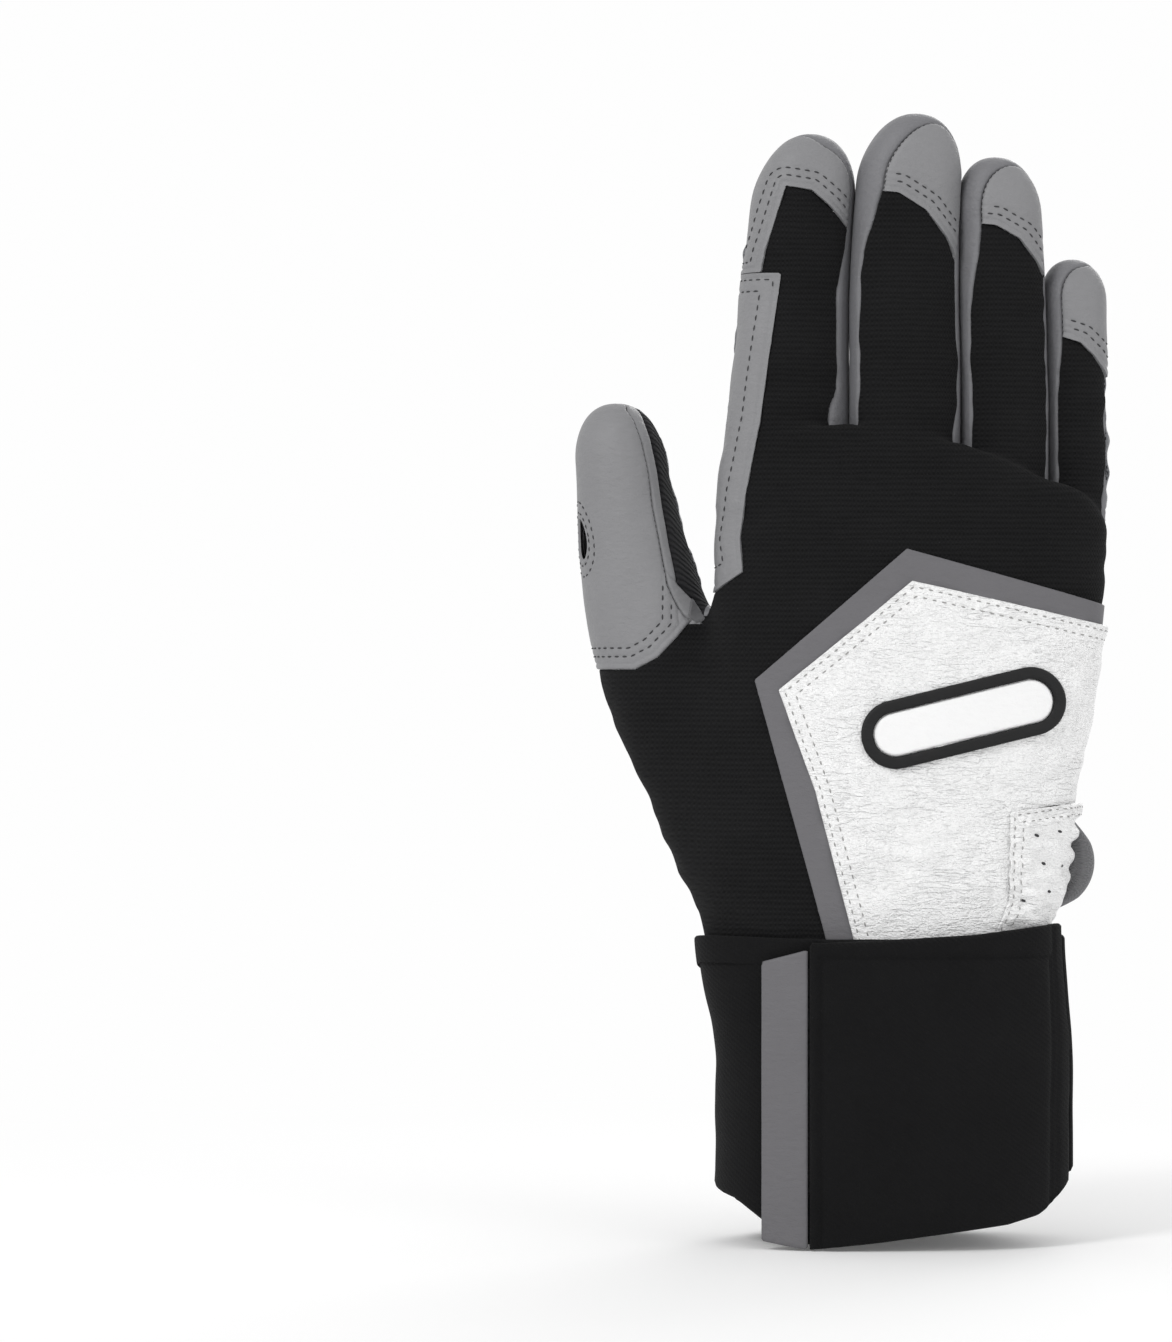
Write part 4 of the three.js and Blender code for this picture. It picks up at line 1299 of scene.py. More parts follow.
GATHER_STITCHES = (1.0, 2.9)
gather_rows = grooves(gather_edge, GATHER_STITCHES, 0.22, 0.45)
gather_made = on_top(GATHER, back_side, 2.0, PATCH_THICKNESS, gather_rows, gather_relief, 0.4)
add_top("gather_panel_leather", "white leather", gather_made, "wrist_gather_panel")

# Each slot of the gathered panel shows as a short dark lens across the gathers
SLOT_SIZE = (1.7, 0.75)
gather_data = gather_made[0]
for slot_x, slot_z in GATHER_SLOTS:
    nearest_row = np.argmin(np.hypot(gather_data[:, 0] - slot_x, gather_data[:, 2] - slot_z))
    found = gather_data[nearest_row][None]
    slot_normal = unit(found[:, 6:9])
    slot_run = unit(np.cross(slot_normal, [[0.4, 0.0, 1.0]]))
    THREADS.setdefault(("dark thread", "hand"), []).append((found[:, 3:6], slot_run, slot_normal, SLOT_SIZE))


HEEL_STITCHES = (1.5, 3.6)
heel_rows = grooves(heel_edge, HEEL_STITCHES, 0.22, 0.5)
heel_made = on_top(HEEL_PATCH, palm_side, 0.1, HEEL_THICKNESS, heel_rows, heel_relief, 0.5)
add_top("heel_patch_leather", "white leather", heel_made, "palm_heel_patch", HEEL_THICKNESS)


def back_in_sight(points):
    """Positive on the back of the hand above the cuff."""
    return np.minimum(0.6 - points[:, 1], points[:, 2] - 76)


def palm_in_sight(points):
    return points[:, 1] - 3


PALE_STITCH = {"size": (1.4, 0.38), "proud": 0.05}
sew(*patch_made, back_patch_edge, PATCH_STITCHES, "pale thread", back_in_sight, 2.5, (1.5, 0.4), 0.05)
sew(*gather_made, gather_edge, GATHER_STITCHES, "pale thread", back_in_sight, 2.3, **PALE_STITCH)
sew(*heel_made, heel_edge, HEEL_STITCHES, "pale thread", palm_in_sight, 2.4, **PALE_STITCH)

# The plain raised bar on the back patch: a white face in a black rim, both moulded
BADGE_MIDDLE = (18.5, 134.0)
BADGE_TILT = math.radians(14)
BADGE_HALF_LENGTH = 17.5
BADGE_HALF_HEIGHT = 5.5
BADGE_RIM = 3.2


def badge_depth(points, grow=0.0):
    """How far inside the bar's outline a place is, with the outline moved out by grow."""
    x, z = points[:, 0] - BADGE_MIDDLE[0], points[:, 2] - BADGE_MIDDLE[1]
    along_bar = x * math.cos(BADGE_TILT) + z * math.sin(BADGE_TILT)
    across_bar = z * math.cos(BADGE_TILT) - x * math.sin(BADGE_TILT)
    over = np.maximum(np.abs(along_bar) - BADGE_HALF_LENGTH, 0)
    return np.where(points[:, 1] < 0, BADGE_HALF_HEIGHT + grow - np.hypot(over, across_bar), -50)


def rim_field(points):
    """Positive on the bar's rim, just clear of its face."""
    return np.minimum(badge_depth(points, BADGE_RIM), -badge_depth(points, 0.1))


def face_field(points):
    """Positive on the bar's face."""
    return badge_depth(points, -0.1)


rim_part = kept(surface, surface_triangles, rim_field)
rim_made = dressed(*rim_part, [rim_field], lift=2.75, roll=0.8)
add_top("badge_rim_moulding", "black rubber", rim_made, "badge_rim", 1.2)
face_part = kept(surface, surface_triangles, face_field)
face_made = dressed(*face_part, [face_field], lift=2.55, roll=0.7)
add_top("badge_face_moulding", "white rubber", face_made, "badge_face", 1.0)

# The gusset in the thumb web, a small kite of smooth leather set into the palm
GUSSET = [(-49.6, 164.8), (-40.5, 151.4), (-45.0, 146.2), (-52.7, 148.3)]


def gusset_edge(points):
    return outline_depth(points, GUSSET)


gusset_made = on_top(GUSSET, palm_side, 0.0, GUSSET_LIFT, (), smooth_relief, 0.4)
add_top(
    "web_gusset_leather", "web leather", gusset_made, "thumb_web_gusset", GUSSET_THICKNESS)
sew(*palm_done, gusset_edge, [-1.6], "dark thread", where=palm_side, pitch=2.6, size=(1.6, 0.38))


# The wrist: pieces laid out flat, along the cuff and up, then wrapped round it

WRIST_POWER = 2.5
WRIST_HALF_DEPTH = 21.0
SECTION_HALF_WIDTH = 40.8
SECTION_HEIGHT = 40.0  # the height at which lengths round the wrist are measured


def wrist_section(angle, z):
    """The cuff's inside at a height. Its two sides lean towards the thumb near the top."""
    flare = smooth_step(z, 44, 80)
    e = 2 / WRIST_POWER
    c, s = np.cos(angle), np.sin(angle)
    share = np.sign(s) * np.abs(s) ** e
    x = SECTION_HALF_WIDTH * share + 0.4 + flare * smooth_step(np.abs(share), 0.75, 1) * (1.3 * share - 3.4)
    y = -WRIST_HALF_DEPTH * np.sign(c) * np.abs(c) ** e
    return x, y


section_angles = np.linspace(0, 2 * math.pi, 2881)
section_x, section_y = wrist_section(section_angles, SECTION_HEIGHT)
section_steps = np.hypot(np.diff(section_x), np.diff(section_y))
section_length = np.concatenate([[0], np.cumsum(section_steps)])
GIRTH = section_length[-1]


def wrist_angle(s):
    return np.interp(np.mod(s, GIRTH), section_length, section_angles)


def wrist_xy(s):
    """Where on the wrist's section a place along it lies."""
    return wrist_section(wrist_angle(s), SECTION_HEIGHT)


def wrist_place(s, z, offset):
    """From along (from the middle of the back, towards the little finger), up and out to x, y and z."""
    angle = wrist_angle(s)
    x, y = wrist_section(angle, z)
    ahead, behind = wrist_section(angle + 0.02, z), wrist_section(angle - 0.02, z)
    tangent = unit(np.stack([ahead[0] - behind[0], ahead[1] - behind[1]], 1))
    return np.stack([x + tangent[:, 1] * offset, y - tangent[:, 0] * offset, z], 1)


def along_at(x=None, y=None):
    """How far along the wrist a place with that x on the back, or that y on the little finger side, is."""
    if x is not None:
        half = section_length < GIRTH / 4 if x > 0 else section_length > 3 * GIRTH / 4
        found = section_length[half][np.argmin(np.abs(section_x[half] - x))]
        return found if x > 0 else found - GIRTH
    half = section_length < GIRTH / 2
    return section_length[half][np.argmin(np.abs(section_y[half] - y))]


def flat_grid(low, high, step):
    """Points and triangles of a flat cloth from corner to corner, along the wrist and up."""
    xs = np.linspace(low[0], high[0], int((high[0] - low[0]) / step) + 2)
    zs = np.linspace(low[1], high[1], int((high[1] - low[1]) / step) + 2)
    sx, sz = np.meshgrid(xs, zs, indexing="ij")
    data = np.stack([sx.ravel(), np.zeros(sx.size), sz.ravel()], 1)
    i, j = np.meshgrid(np.arange(len(xs) - 1), np.arange(len(zs) - 1), indexing="ij")
    a = (i * len(zs) + j).ravel()
    b, c, d = a + len(zs), a + len(zs) + 1, a + 1
    return data, np.concatenate([np.stack([a, b, c], 1), np.stack([a, c, d], 1)])


BAND_SHARES = [0.08, 0.35, 1.0]  # where the roll of a band's edge gets rows of points


def padded_band(name, inside, low, high, offset, thickness, roll,
                relief=None, rows=(), step=1.1, place=wrist_place):
    """A closed padded band with rounded edges, from a flat cut laid round the wrist."""
    data, triangles = kept(*flat_grid(low, high, step), inside)
    data, triangles = rowed(data, triangles, inside, [share * roll for share in BAND_SHARES])
    for field, level, _, width in rows:
        data, triangles = rowed(data, triangles, field, [level - width, level, level + width])
    distance = np.clip(inside(data), 0, roll)
    dip = (1 - np.sqrt(np.clip(1 - ((roll - distance) / roll) ** 2, 0, 1))) * thickness / 2
    outer, inner = offset + thickness - dip, offset + dip
    for field, level, depth, width in rows:
        outer = outer - depth * bump(field(data), level, width)
    if relief is not None:
        outer = outer + relief(data) * distance / roll
    points = np.concatenate([place(data[:, 0], data[:, 2], outer), place(data[:, 0], data[:, 2], inner)])
    _, everything = sheet_triangles(triangles, len(data))
    return mesh_object(name, points, everything, None, np.concatenate([data, data + [0, 50, 0]]))


# The sleeve's lower edge: places across and heights, on the back and on the palm
BACK_ACROSS = [-41, -37, -30.5, -20, -3, 27.5, 34, 37, 39.6, 41.2]
BACK_BOTTOM = [13.5, 12.0, 6.6, 1.2, 2.9, 7.1, 9.1, 11.6, 15.6, 18.0]
PALM_ACROSS = [-41, -38.5, -36.3, -31.5, -25, -11, 0, 14.6, 26.2, 31.8, 35.8, 38.4, 41.2]
PALM_BOTTOM = [14.5, 12.4, 9.0, 5.2, 2.7, 0.5, 0, 1.7, 5.1, 8.0, 11.3, 14.2, 17.0]


def sleeve_bottom(s):
    x, y = wrist_xy(s)
    palm_share = smooth_step(y, -8, 8)
    back, palm_edge = np.interp(x, BACK_ACROSS, BACK_BOTTOM), np.interp(x, PALM_ACROSS, PALM_BOTTOM)
    return back + (palm_edge - back) * palm_share


def sleeve_top(s):
    """The sleeve's upper edge, which is higher on the back and at both sides."""
    x, y = wrist_xy(s)
    return 74 - 4.3 * y / WRIST_HALF_DEPTH + 3.4 * (np.abs(x) / SECTION_HALF_WIDTH) ** 4


def sleeve_inside(points):
    s, z = points[:, 0], points[:, 2]
    return np.minimum(z - sleeve_bottom(s), sleeve_top(s) - z)


def cloth_relief(seed, amount):
    """Long soft waves in the padded cloth."""
    def relief(points):
        return wrinkles(points * [1, 0, 1], seed, amount, (1, 0, 1.5), sizes=(12, 40))

    return relief


sleeve = padded_band(
    "cuff_fabric", sleeve_inside, (0, 0), (GIRTH, 82), 0.4, 2.9, 1.6, cloth_relief(51, 0.22))
finish(sleeve, "cuff fabric", "hand", ["cuff_sleeve"])

# Where the strap's pieces begin and end along the wrist
TAB_LEFT, TAB_RIGHT = along_at(x=-29.9), along_at(x=-19.75)
STRAP_END, STRAP_HINGE = along_at(x=-19.4), along_at(y=-6.8)
ROOT_START, ROOT_END = along_at(y=-6.3), along_at(y=12.4)
BACK_END = along_at(x=-16.5)
LINE_START, LINE_END = along_at(x=-16.6), along_at(x=36.6)
SIDE_LINE = along_at(x=37.6)
# The strap's edges: places across and heights
STRAP_TOP_LINE = [(-40, 77.2), (-15.6, 77.6), (-3, 78.2), (20, 79.6), (34, 81.4), (39, 81.8), (60, 80.0)]
STRAP_BOTTOM_LINE = [
    (-40, 0.2), (-19.7, 0.3), (-3, 2.2), (27.5, 6.4), (34, 8.4), (37, 10.9), (39.6, 15.0), (41.2, 18.5),
    (60, 19),
]


def strap_inside(points):
    s, z = points[:, 0], points[:, 2]
    x, _ = wrist_xy(s)
    top = np.interp(x, *zip(*STRAP_TOP_LINE)) - z
    bottom = z - np.interp(x, *zip(*STRAP_BOTTOM_LINE))
    return np.min([top, bottom, s - STRAP_END, STRAP_HINGE - s], 0)


def strap_line(points):
    """Distance from the pressed line that runs round the strap's face."""
    s, z = points[:, 0], points[:, 2]
    return np.min([s - LINE_START, 73.6 - z, LINE_END - s], 0)


def along_wrist(points):
    return points[:, 0]


strap_rows = grooves(strap_line, [0.0], 0.7, 0.8) + grooves(along_wrist, [SIDE_LINE], 0.45, 0.9)
strap_low, strap_high = (STRAP_END - 0.5, 0), (STRAP_HINGE + 0.5, 83)
strap = padded_band(
    "strap_fabric", strap_inside, strap_low, strap_high, 4.5, 2.5, 1.3, cloth_relief(53, 0.16), strap_rows)
finish(strap, "cuff fabric", "strap", ["strap_band"])


def tab_inside(points):
    s, z = points[:, 0], points[:, 2]
    share = (s - TAB_LEFT) / (TAB_RIGHT - TAB_LEFT)
    return np.min([s - TAB_LEFT, TAB_RIGHT - s, 72.6 + 3.2 * share - z, z - 2.2 + 1.9 * share], 0)


tab_low, tab_high = (TAB_LEFT - 0.5, 0), (TAB_RIGHT + 0.5, 77)
tab = padded_band("pull_tab_trim", tab_inside, tab_low, tab_high, 5.1, 1.3, 0.5, cloth_relief(57, 0.06))
finish(tab, "trim", "strap", ["strap_pull_tab"])

# The two tapes that hold the strap's free end, one on the cuff and one on the strap
TAPE_LEFT, TAPE_RIGHT = TAB_LEFT + 1.2, along_at(x=-6.0)
TAPE_BOTTOM, TAPE_TOP = 14.0, 71.0
TAPE_THICKNESS = 0.45


def tape_inside(points):
    s, z = points[:, 0], points[:, 2]
    return np.min([s - TAPE_LEFT, TAPE_RIGHT - s, z - TAPE_BOTTOM, TAPE_TOP - z], 0)


tape_low, tape_high = (TAPE_LEFT - 0.5, TAPE_BOTTOM - 0.5), (TAPE_RIGHT + 0.5, TAPE_TOP + 0.5)
for name, look, body, node, offset in (
    ("loop_tape_fleece", "loop tape", "hand", "cuff_loop_tape", 3.35),
    ("hook_tape_bristles", "hook tape", "strap", "strap_hook_tape", 4.0),
):
    tape = padded_band(name, tape_inside, tape_low, tape_high, offset, TAPE_THICKNESS, 0.25, step=2)
    finish(tape, look, body, [node])


def root_inside(points):
    s, z = points[:, 0], points[:, 2]
    return np.min([s - ROOT_START, ROOT_END - s, 78.8 - z, z - sleeve_bottom(s) - 1.0], 0)


def root_place(s, z, offset):
    """The sewn root thins out towards the palm."""
    thin = smooth_step(s, ROOT_START, ROOT_END)
    return wrist_place(s, z, 3.4 + (offset - 3.4) * (1 - 0.86 * thin))


root_low, root_high = (ROOT_START - 0.5, 0), (ROOT_END + 0.5, 80)
root_piece = padded_band(
    "strap_root_fabric", root_inside, root_low, root_high, 3.45, 3.5, 1.3,
    cloth_relief(59, 0.05), place=root_place)
finish(root_piece, "cuff fabric", "hand", ["strap_sewn_root"])

BINDING_START, BINDING_END = ROOT_END + 0.6, GIRTH + BACK_END - 1.0
BINDING_HEIGHT = 7.0


def binding_inside(points):
    s, z = points[:, 0], points[:, 2]
    top = sleeve_top(s) + 0.25
    return np.min([s - BINDING_START, BINDING_END - s, top - z, z - top + BINDING_HEIGHT], 0)


binding_low, binding_high = (BINDING_START - 0.5, 60), (BINDING_END + 0.5, 80)
binding = padded_band(
    "cuff_binding_fabric", binding_inside, binding_low, binding_high, 3.2, 0.85, 0.8,
    cloth_relief(61, 0.06), step=0.9)
finish(binding, "cuff fabric", "hand", ["cuff_top_binding"])


# The pull loop: a grey webbing ribbon bowed out from the edge of the hand, turned a little to the back

LOOP_FOOT = np.array([40.9, 0.6, 84.5])
LOOP_HEAD = np.array([46.4, 0.6, 108.6])
LOOP_OUT = 6.6
LOOP_HALF_WIDTH = 3.9
LOOP_HALF_THICKNESS = 0.75
LOOP_TURN = math.radians(52)
LOOP_STEPS = 44
LOOP_SECTION = 20
LOOP_LENGTH = 30  # about the ribbon's length when laid flat


def loop_ribbon():
    """The ribbon, sewn to the hand at both ends and swinging out of it in between."""
    t = np.linspace(0, 1, LOOP_STEPS)
    lift = np.sin(math.pi * t) ** 0.8
    chord = LOOP_HEAD - LOOP_FOOT
    out = np.array([chord[2], 0, -chord[0]]) / math.hypot(chord[0], chord[2])
    middle = LOOP_FOOT + t[:, None] * chord + out * (LOOP_OUT * lift)[:, None]
    tangent = unit(np.gradient(middle, axis=0))
    side = np.array([0.0, 1.0, 0.0])
    face = unit(np.cross(tangent, np.broadcast_to(side, tangent.shape)))
    turned = LOOP_TURN * np.sin(math.pi * t)[:, None]
    across = side * np.cos(turned) + face * np.sin(turned)
    face = np.cross(tangent, across)
    pinch = (0.4 + 0.6 * np.clip(lift * 1.3, 0, 1))[:, None]
    rings = []
    for k in range(LOOP_SECTION):
        angle = 2 * math.pi * k / LOOP_SECTION
        c, s = math.cos(angle), math.sin(angle)
        u = math.copysign(abs(c) ** 0.5, c) * LOOP_HALF_WIDTH
        v = math.copysign(abs(s) ** 0.6, s) * LOOP_HALF_THICKNESS
        rings.append(middle + across * u * pinch + face * v)
    points = np.stack(rings, 1).reshape(-1, 3)
    triangles = tube_triangles(LOOP_STEPS, LOOP_SECTION)
    across_flat = np.tile(np.linspace(-1, 1, LOOP_SECTION), LOOP_STEPS) * LOOP_HALF_WIDTH
    along_flat = np.repeat(t * LOOP_LENGTH, LOOP_SECTION)
    rest = np.stack([across_flat, np.zeros(len(points)), along_flat], 1)
    piece = mesh_object("pull_loop_webbing", points, triangles, None, rest)
    finish(piece, "webbing")
    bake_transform(piece)
    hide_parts("pull_loop")


loop_ribbon()
make_threads()


# Node trees. Textures use the rest place of each point, before it was dressed or laid round the wrist, in
# millimetres

def linear(level):
    """A grey or a colour given as it looks on a screen, from 0 to 255, as light."""
    values = np.broadcast_to(np.asarray(level, float) / 255, 3)
    return tuple(np.where(values < 0.04045, values / 12.92, ((values + 0.055) / 1.055) ** 2.4)) + (1.0,)


class Graph:
    """Short ways to add nodes to a node tree."""

    def __init__(self, tree):
        self.tree = tree

    def add(self, kind, inputs=None, out=0, **settings):
        node = self.tree.nodes.new("ShaderNode" + kind)
        for key, value in settings.items():
            setattr(node, key, value)
        self.feed(node, inputs or {})
        return node.outputs[out]

    def feed(self, node, inputs):
        for key, value in inputs.items():
            if isinstance(value, bpy.types.NodeSocket):
                self.tree.links.new(value, node.inputs[key])
            else:
                node.inputs[key].default_value = value

    def math(self, operation, a, b=0.0, c=0.0, clamp=False):
        return self.add("Math", {0: a, 1: b, 2: c}, operation=operation, use_clamp=clamp)

    def rest(self):
        return self.add("Attribute", out=1, attribute_name="rest")

    def noise(self, vector, scale, detail=2.0, roughness=0.5):
        inputs = {"Vector": vector, "Scale": scale, "Detail": detail, "Roughness": roughness}
        return self.add("TexNoise", inputs)

    def cells(self, vector, scale, smooth=0.3):
        inputs = {"Vector": vector, "Scale": scale, "Smoothness": smooth}
        return self.add("TexVoronoi", inputs, feature="SMOOTH_F1")

    def stretch(self, vector, x, y, z):
        return self.add("VectorMath", {0: vector, 1: (x, y, z)}, operation="MULTIPLY")

    def blend(self, share, a, b):
        return self.add("Mix", {0: share, 6: a, 7: b}, out=2, data_type="RGBA")


def group(name, outputs, make):
    """A node group from the rest place to some values."""
    tree = bpy.data.node_groups.new(name, "ShaderNodeTree")
    tree.interface.new_socket("Place", in_out="INPUT", socket_type="NodeSocketVector")
    for label in outputs:
        tree.interface.new_socket(label, in_out="OUTPUT", socket_type="NodeSocketFloat")
    g = Graph(tree)
    entry = tree.nodes.new("NodeGroupInput")
    leave = tree.nodes.new("NodeGroupOutput")
    g.feed(leave, dict(zip(outputs, make(g, entry.outputs["Place"]))))
    return tree


def use(g, tree, vector):
    """A node group placed in a material: its outputs."""
    node = g.tree.nodes.new("ShaderNodeGroup")
    node.node_tree = tree
    g.tree.links.new(vector, node.inputs["Place"])
    return node.outputs


def split_xyz(g, vector):
    node = g.tree.nodes.new("ShaderNodeSeparateXYZ")
    g.tree.links.new(vector, node.inputs[0])
    return node.outputs


def make_embossed(g, place):
    """Rows of short dashes, each row shifted against the next, between uneven pebbles."""
    cloud = g.add("TexNoise", {"Vector": place, "Scale": 0.55, "Detail": 2.0}, out=1)
    wobble = g.add("VectorMath", {0: cloud, 1: (0.5, 0.5, 0.5)}, operation="SUBTRACT")
    moved = g.add("VectorMath", {0: wobble, 1: (2.0, 2.0, 1.4), 2: place}, operation="MULTIPLY_ADD")
    x, _, z = split_xyz(g, moved)
    row = g.math("DIVIDE", z, 1.75)
    number = g.math("FLOOR", row)
    shift = g.math("MULTIPLY", g.math("MODULO", g.math("ABSOLUTE", number), 2.0), 0.5)
    column = g.math("ADD", g.math("DIVIDE", x, 2.9), shift)
    u = g.math("SUBTRACT", g.math("FRACT", column), 0.5)
    v = g.math("SUBTRACT", g.math("FRACT", row), 0.5)
    bowed = g.math("MULTIPLY_ADD", g.math("MULTIPLY", u, u), 0.9, v)
    reach_u = g.math("POWER", g.math("DIVIDE", u, 0.36), 2.0)
    reach_v = g.math("POWER", g.math("DIVIDE", bowed, 0.3), 2.0)
    dash = g.math("SUBTRACT", 1.0, g.math("ADD", reach_u, reach_v), clamp=True)
    strength = g.math("MULTIPLY_ADD", g.noise(place, 0.07, 2.0), 2.6, -0.55, clamp=True)
    pebble = g.cells(g.stretch(place, 1.0, 1.0, 1.4), 1.0, 0.5)
    wrinkle = g.noise(g.stretch(place, 0.6, 0.6, 1.3), 0.7, 4.0, 0.6)
    height = g.math("MULTIPLY", g.math("MULTIPLY", dash, strength), 0.5)
    height = g.math("MULTIPLY_ADD", pebble, 0.55, height)
    height = g.math("MULTIPLY_ADD", wrinkle, 0.7, height)
    # The colour mask is lighter on the raised dashes and darker in the wrinkles' hollows: painted highlight
    # and painted shade
    return height, g.math("MULTIPLY_ADD", dash, 0.5, wrinkle)


def make_grain(g, place):
    """The fine even grain of smooth leather, with faint long wrinkles."""
    pores = g.cells(place, 2.3)
    drift = g.noise(g.stretch(place, 1.0, 1.0, 2.2), 0.35, 4.0, 0.6)
    height = g.math("MULTIPLY_ADD", pores, 0.05, g.math("MULTIPLY", drift, 0.35))
    return height, drift


def make_coarse_grain(g, place):
    """Grained leather: small cells between fine wrinkles, with longer thin lines here and there, pressed in
    and painted darker as shade in their creases.
    """
    cells = g.cells(g.stretch(place, 1.0, 1.0, 1.6), 1.5)
    wrinkle = g.noise(g.stretch(place, 0.7, 0.7, 2.2), 0.5, 3.0, 0.55)
    drift = g.noise(g.stretch(place, 0.5, 0.5, 1.9), 0.32, 2.0, 0.5)
    off_line = g.math("ABSOLUTE", g.math("SUBTRACT", drift, 0.5))
    line = g.math("SUBTRACT", 1.0, g.math("MULTIPLY", off_line, 30.0), clamp=True)
    patchy = g.math("MULTIPLY_ADD", g.noise(place, 0.06, 1.0), 3.0, -1.0, clamp=True)
    line = g.math("MULTIPLY", line, patchy)
    height = g.math("MULTIPLY_ADD", cells, 0.3, g.math("MULTIPLY", wrinkle, 0.9))
    height = g.math("MULTIPLY_ADD", line, -0.22, height)
    # The colour is darker along the lines: painted shade in the creases
    return height, g.math("MULTIPLY_ADD", line, -0.3, 1.5)


def make_knit(g, place):
    """Courses of knit that run across the hand, broken into stitches."""
    drift = g.noise(place, 0.12, 2.0)
    x, y, z = split_xyz(g, place)
    across = g.math("ADD", x, g.math("MULTIPLY", y, 0.35))
    wave = g.math("MULTIPLY", g.noise(g.stretch(place, 0.25, 0.25, 1.0), 0.5, 2.0), 5.0)
    course = g.math("SINE", g.math("ADD", g.math("MULTIPLY", z, 4.5), wave))
    wale = g.math("SINE", g.math("MULTIPLY_ADD", across, 6.2, g.math("MULTIPLY", drift, 9.0)))
    loops = g.math("MULTIPLY", course, g.math("MULTIPLY_ADD", wale, 0.5, 0.5))
    fuzz = g.noise(place, 3.4, 3.0, 0.7)
    height = g.math("MULTIPLY_ADD", loops, 0.16, g.math("MULTIPLY", fuzz, 0.25))
    return height, g.math("MULTIPLY_ADD", loops, 0.7, g.math("MULTIPLY", fuzz, 0.9))


def make_ribbed(g, place):
    """Thick slanted ribs, like a knitted band that stretches."""
    _, y, z = split_xyz(g, place)
    slant = g.math("MULTIPLY_ADD", y, 0.9, z)
    wobble = g.math("MULTIPLY", g.noise(place, 0.5, 2.0), 2.2)
    rib = g.math("SINE", g.math("MULTIPLY_ADD", slant, 3.1, wobble))
    lift = g.math("POWER", g.math("MULTIPLY_ADD", rib, 0.5, 0.5), 0.7)
    fuzz = g.noise(place, 3.0, 3.0, 0.7)
    return g.math("MULTIPLY_ADD", lift, 0.5, g.math("MULTIPLY", fuzz, 0.2)), lift


def make_twill(g, place):
    """Fine slanted twill with a little fuzz."""
    x, _, z = split_xyz(g, place)
    slant = g.math("MULTIPLY_ADD", x, 0.8, z)
    wobble = g.math("MULTIPLY", g.noise(place, 0.25, 2.0), 4.0)
    rib = g.math("SINE", g.math("MULTIPLY_ADD", slant, 4.6, wobble))
    cross = g.math("SINE", g.math("MULTIPLY_ADD", g.math("SUBTRACT", z, x), 5.5, wobble))
    broken = g.math("MULTIPLY", rib, g.math("MULTIPLY_ADD", cross, 0.3, 0.7))
    fuzz = g.noise(place, 2.8, 4.0, 0.7)
    return g.math("MULTIPLY_ADD", broken, 0.06, g.math("MULTIPLY", fuzz, 0.25)), fuzz


def make_weave(g, place):
    """Plain woven webbing."""
    x, _, z = split_xyz(g, place)
    warp = g.math("SINE", g.math("MULTIPLY", x, 6.0))
    weft = g.math("SINE", g.math("MULTIPLY", z, 7.5))
    fuzz = g.noise(place, 3.0, 2.0)
    return g.math("MULTIPLY_ADD", g.math("MULTIPLY", warp, weft), 0.12, g.math("MULTIPLY", fuzz, 0.15)), fuzz


def make_bristle(g, place):
    """Densely set tiny hooks or loops."""
    dots = g.cells(place, 1.4, 0.1)
    fuzz = g.noise(place, 3.0, 2.0)
    return g.math("MULTIPLY_ADD", dots, 0.5, g.math("MULTIPLY", fuzz, 0.3)), fuzz


TEXTURES = {
    name: group(label, ["Height", "Mask"], make)
    for name, label, make in (
        ("embossed", "embossed dashes", make_embossed),
        ("grain", "fine grain", make_grain),
        ("coarse", "coarse grain", make_coarse_grain),
        ("knit", "knit courses", make_knit),
        ("ribbed", "slanted ribs", make_ribbed),
        ("twill", "fine twill", make_twill),
        ("weave", "plain weave", make_weave),
        ("bristle", "tape pile", make_bristle),
    )
}

# Each look: texture, screen level in the hollows and on the heights, roughness, share of the bump, sheen.
# The hollows are darker than the heights as painted shade
LOOKS = {
    "palm leather": ("embossed", (94, 95, 99), (130, 131, 134), 0.5, 1.0, 0.0),
    "smooth leather": ("grain", (128, 128, 130), (142, 142, 144), 0.5, 1.0, 0.0),
    "side leather": ("grain", (112, 112, 115), (126, 126, 129), 0.5, 1.0, 0.0),
    "white leather": ("coarse", (238, 238, 240), (254, 254, 254), 0.45, 1.0, 0.0),
    "knit": ("knit", (9, 9, 10), (31, 31, 32), 0.95, 1.0, 0.02),
    "ribbed knit": ("ribbed", (12, 12, 13), (52, 52, 54), 0.9, 1.0, 0.02),
    "cuff fabric": ("twill", (9, 9, 10), (25, 25, 26), 0.95, 1.0, 0.02),
    "web leather": ("grain", (86, 86, 88), (100, 100, 102), 0.5, 1.0, 0.0),
    # The seam thread is near black as painted shade in the seam grooves
    "seam thread": ("weave", (22, 22, 23), (36, 36, 37), 0.8, 0.4, 0.0),
    "trim": ("grain", (102, 101, 104), (112, 111, 114), 0.6, 0.8, 0.0),
    # The webbing is painted lighter than its own grey, as painted light that makes up for the shade on the
    # pull loop's turned faces
    "webbing": ("weave", (116, 116, 118), (142, 142, 144), 0.8, 1.0, 0.1),
    "loop tape": ("bristle", (16, 16, 17), (40, 40, 41), 0.95, 1.0, 0.4),
    "hook tape": ("bristle", (20, 20, 21), (46, 46, 47), 0.6, 1.0, 0.0),
    "black rubber": ("grain", (10, 10, 11), (17, 17, 18), 0.6, 0.5, 0.0),
    "white rubber": ("grain", (246, 246, 246), (252, 252, 252), 0.4, 0.5, 0.0),
    "dark thread": ("weave", (46, 46, 48), (66, 66, 68), 0.7, 0.4, 0.0),
    "pale thread": ("weave", (150, 149, 148), (176, 175, 174), 0.7, 0.4, 0.0),
    "elastic": ("ribbed", (24, 24, 25), (60, 60, 61), 0.8, 0.8, 0.0),
}


ROUGHNESS_SWING = 0.16  # how much the roughness changes over a surface


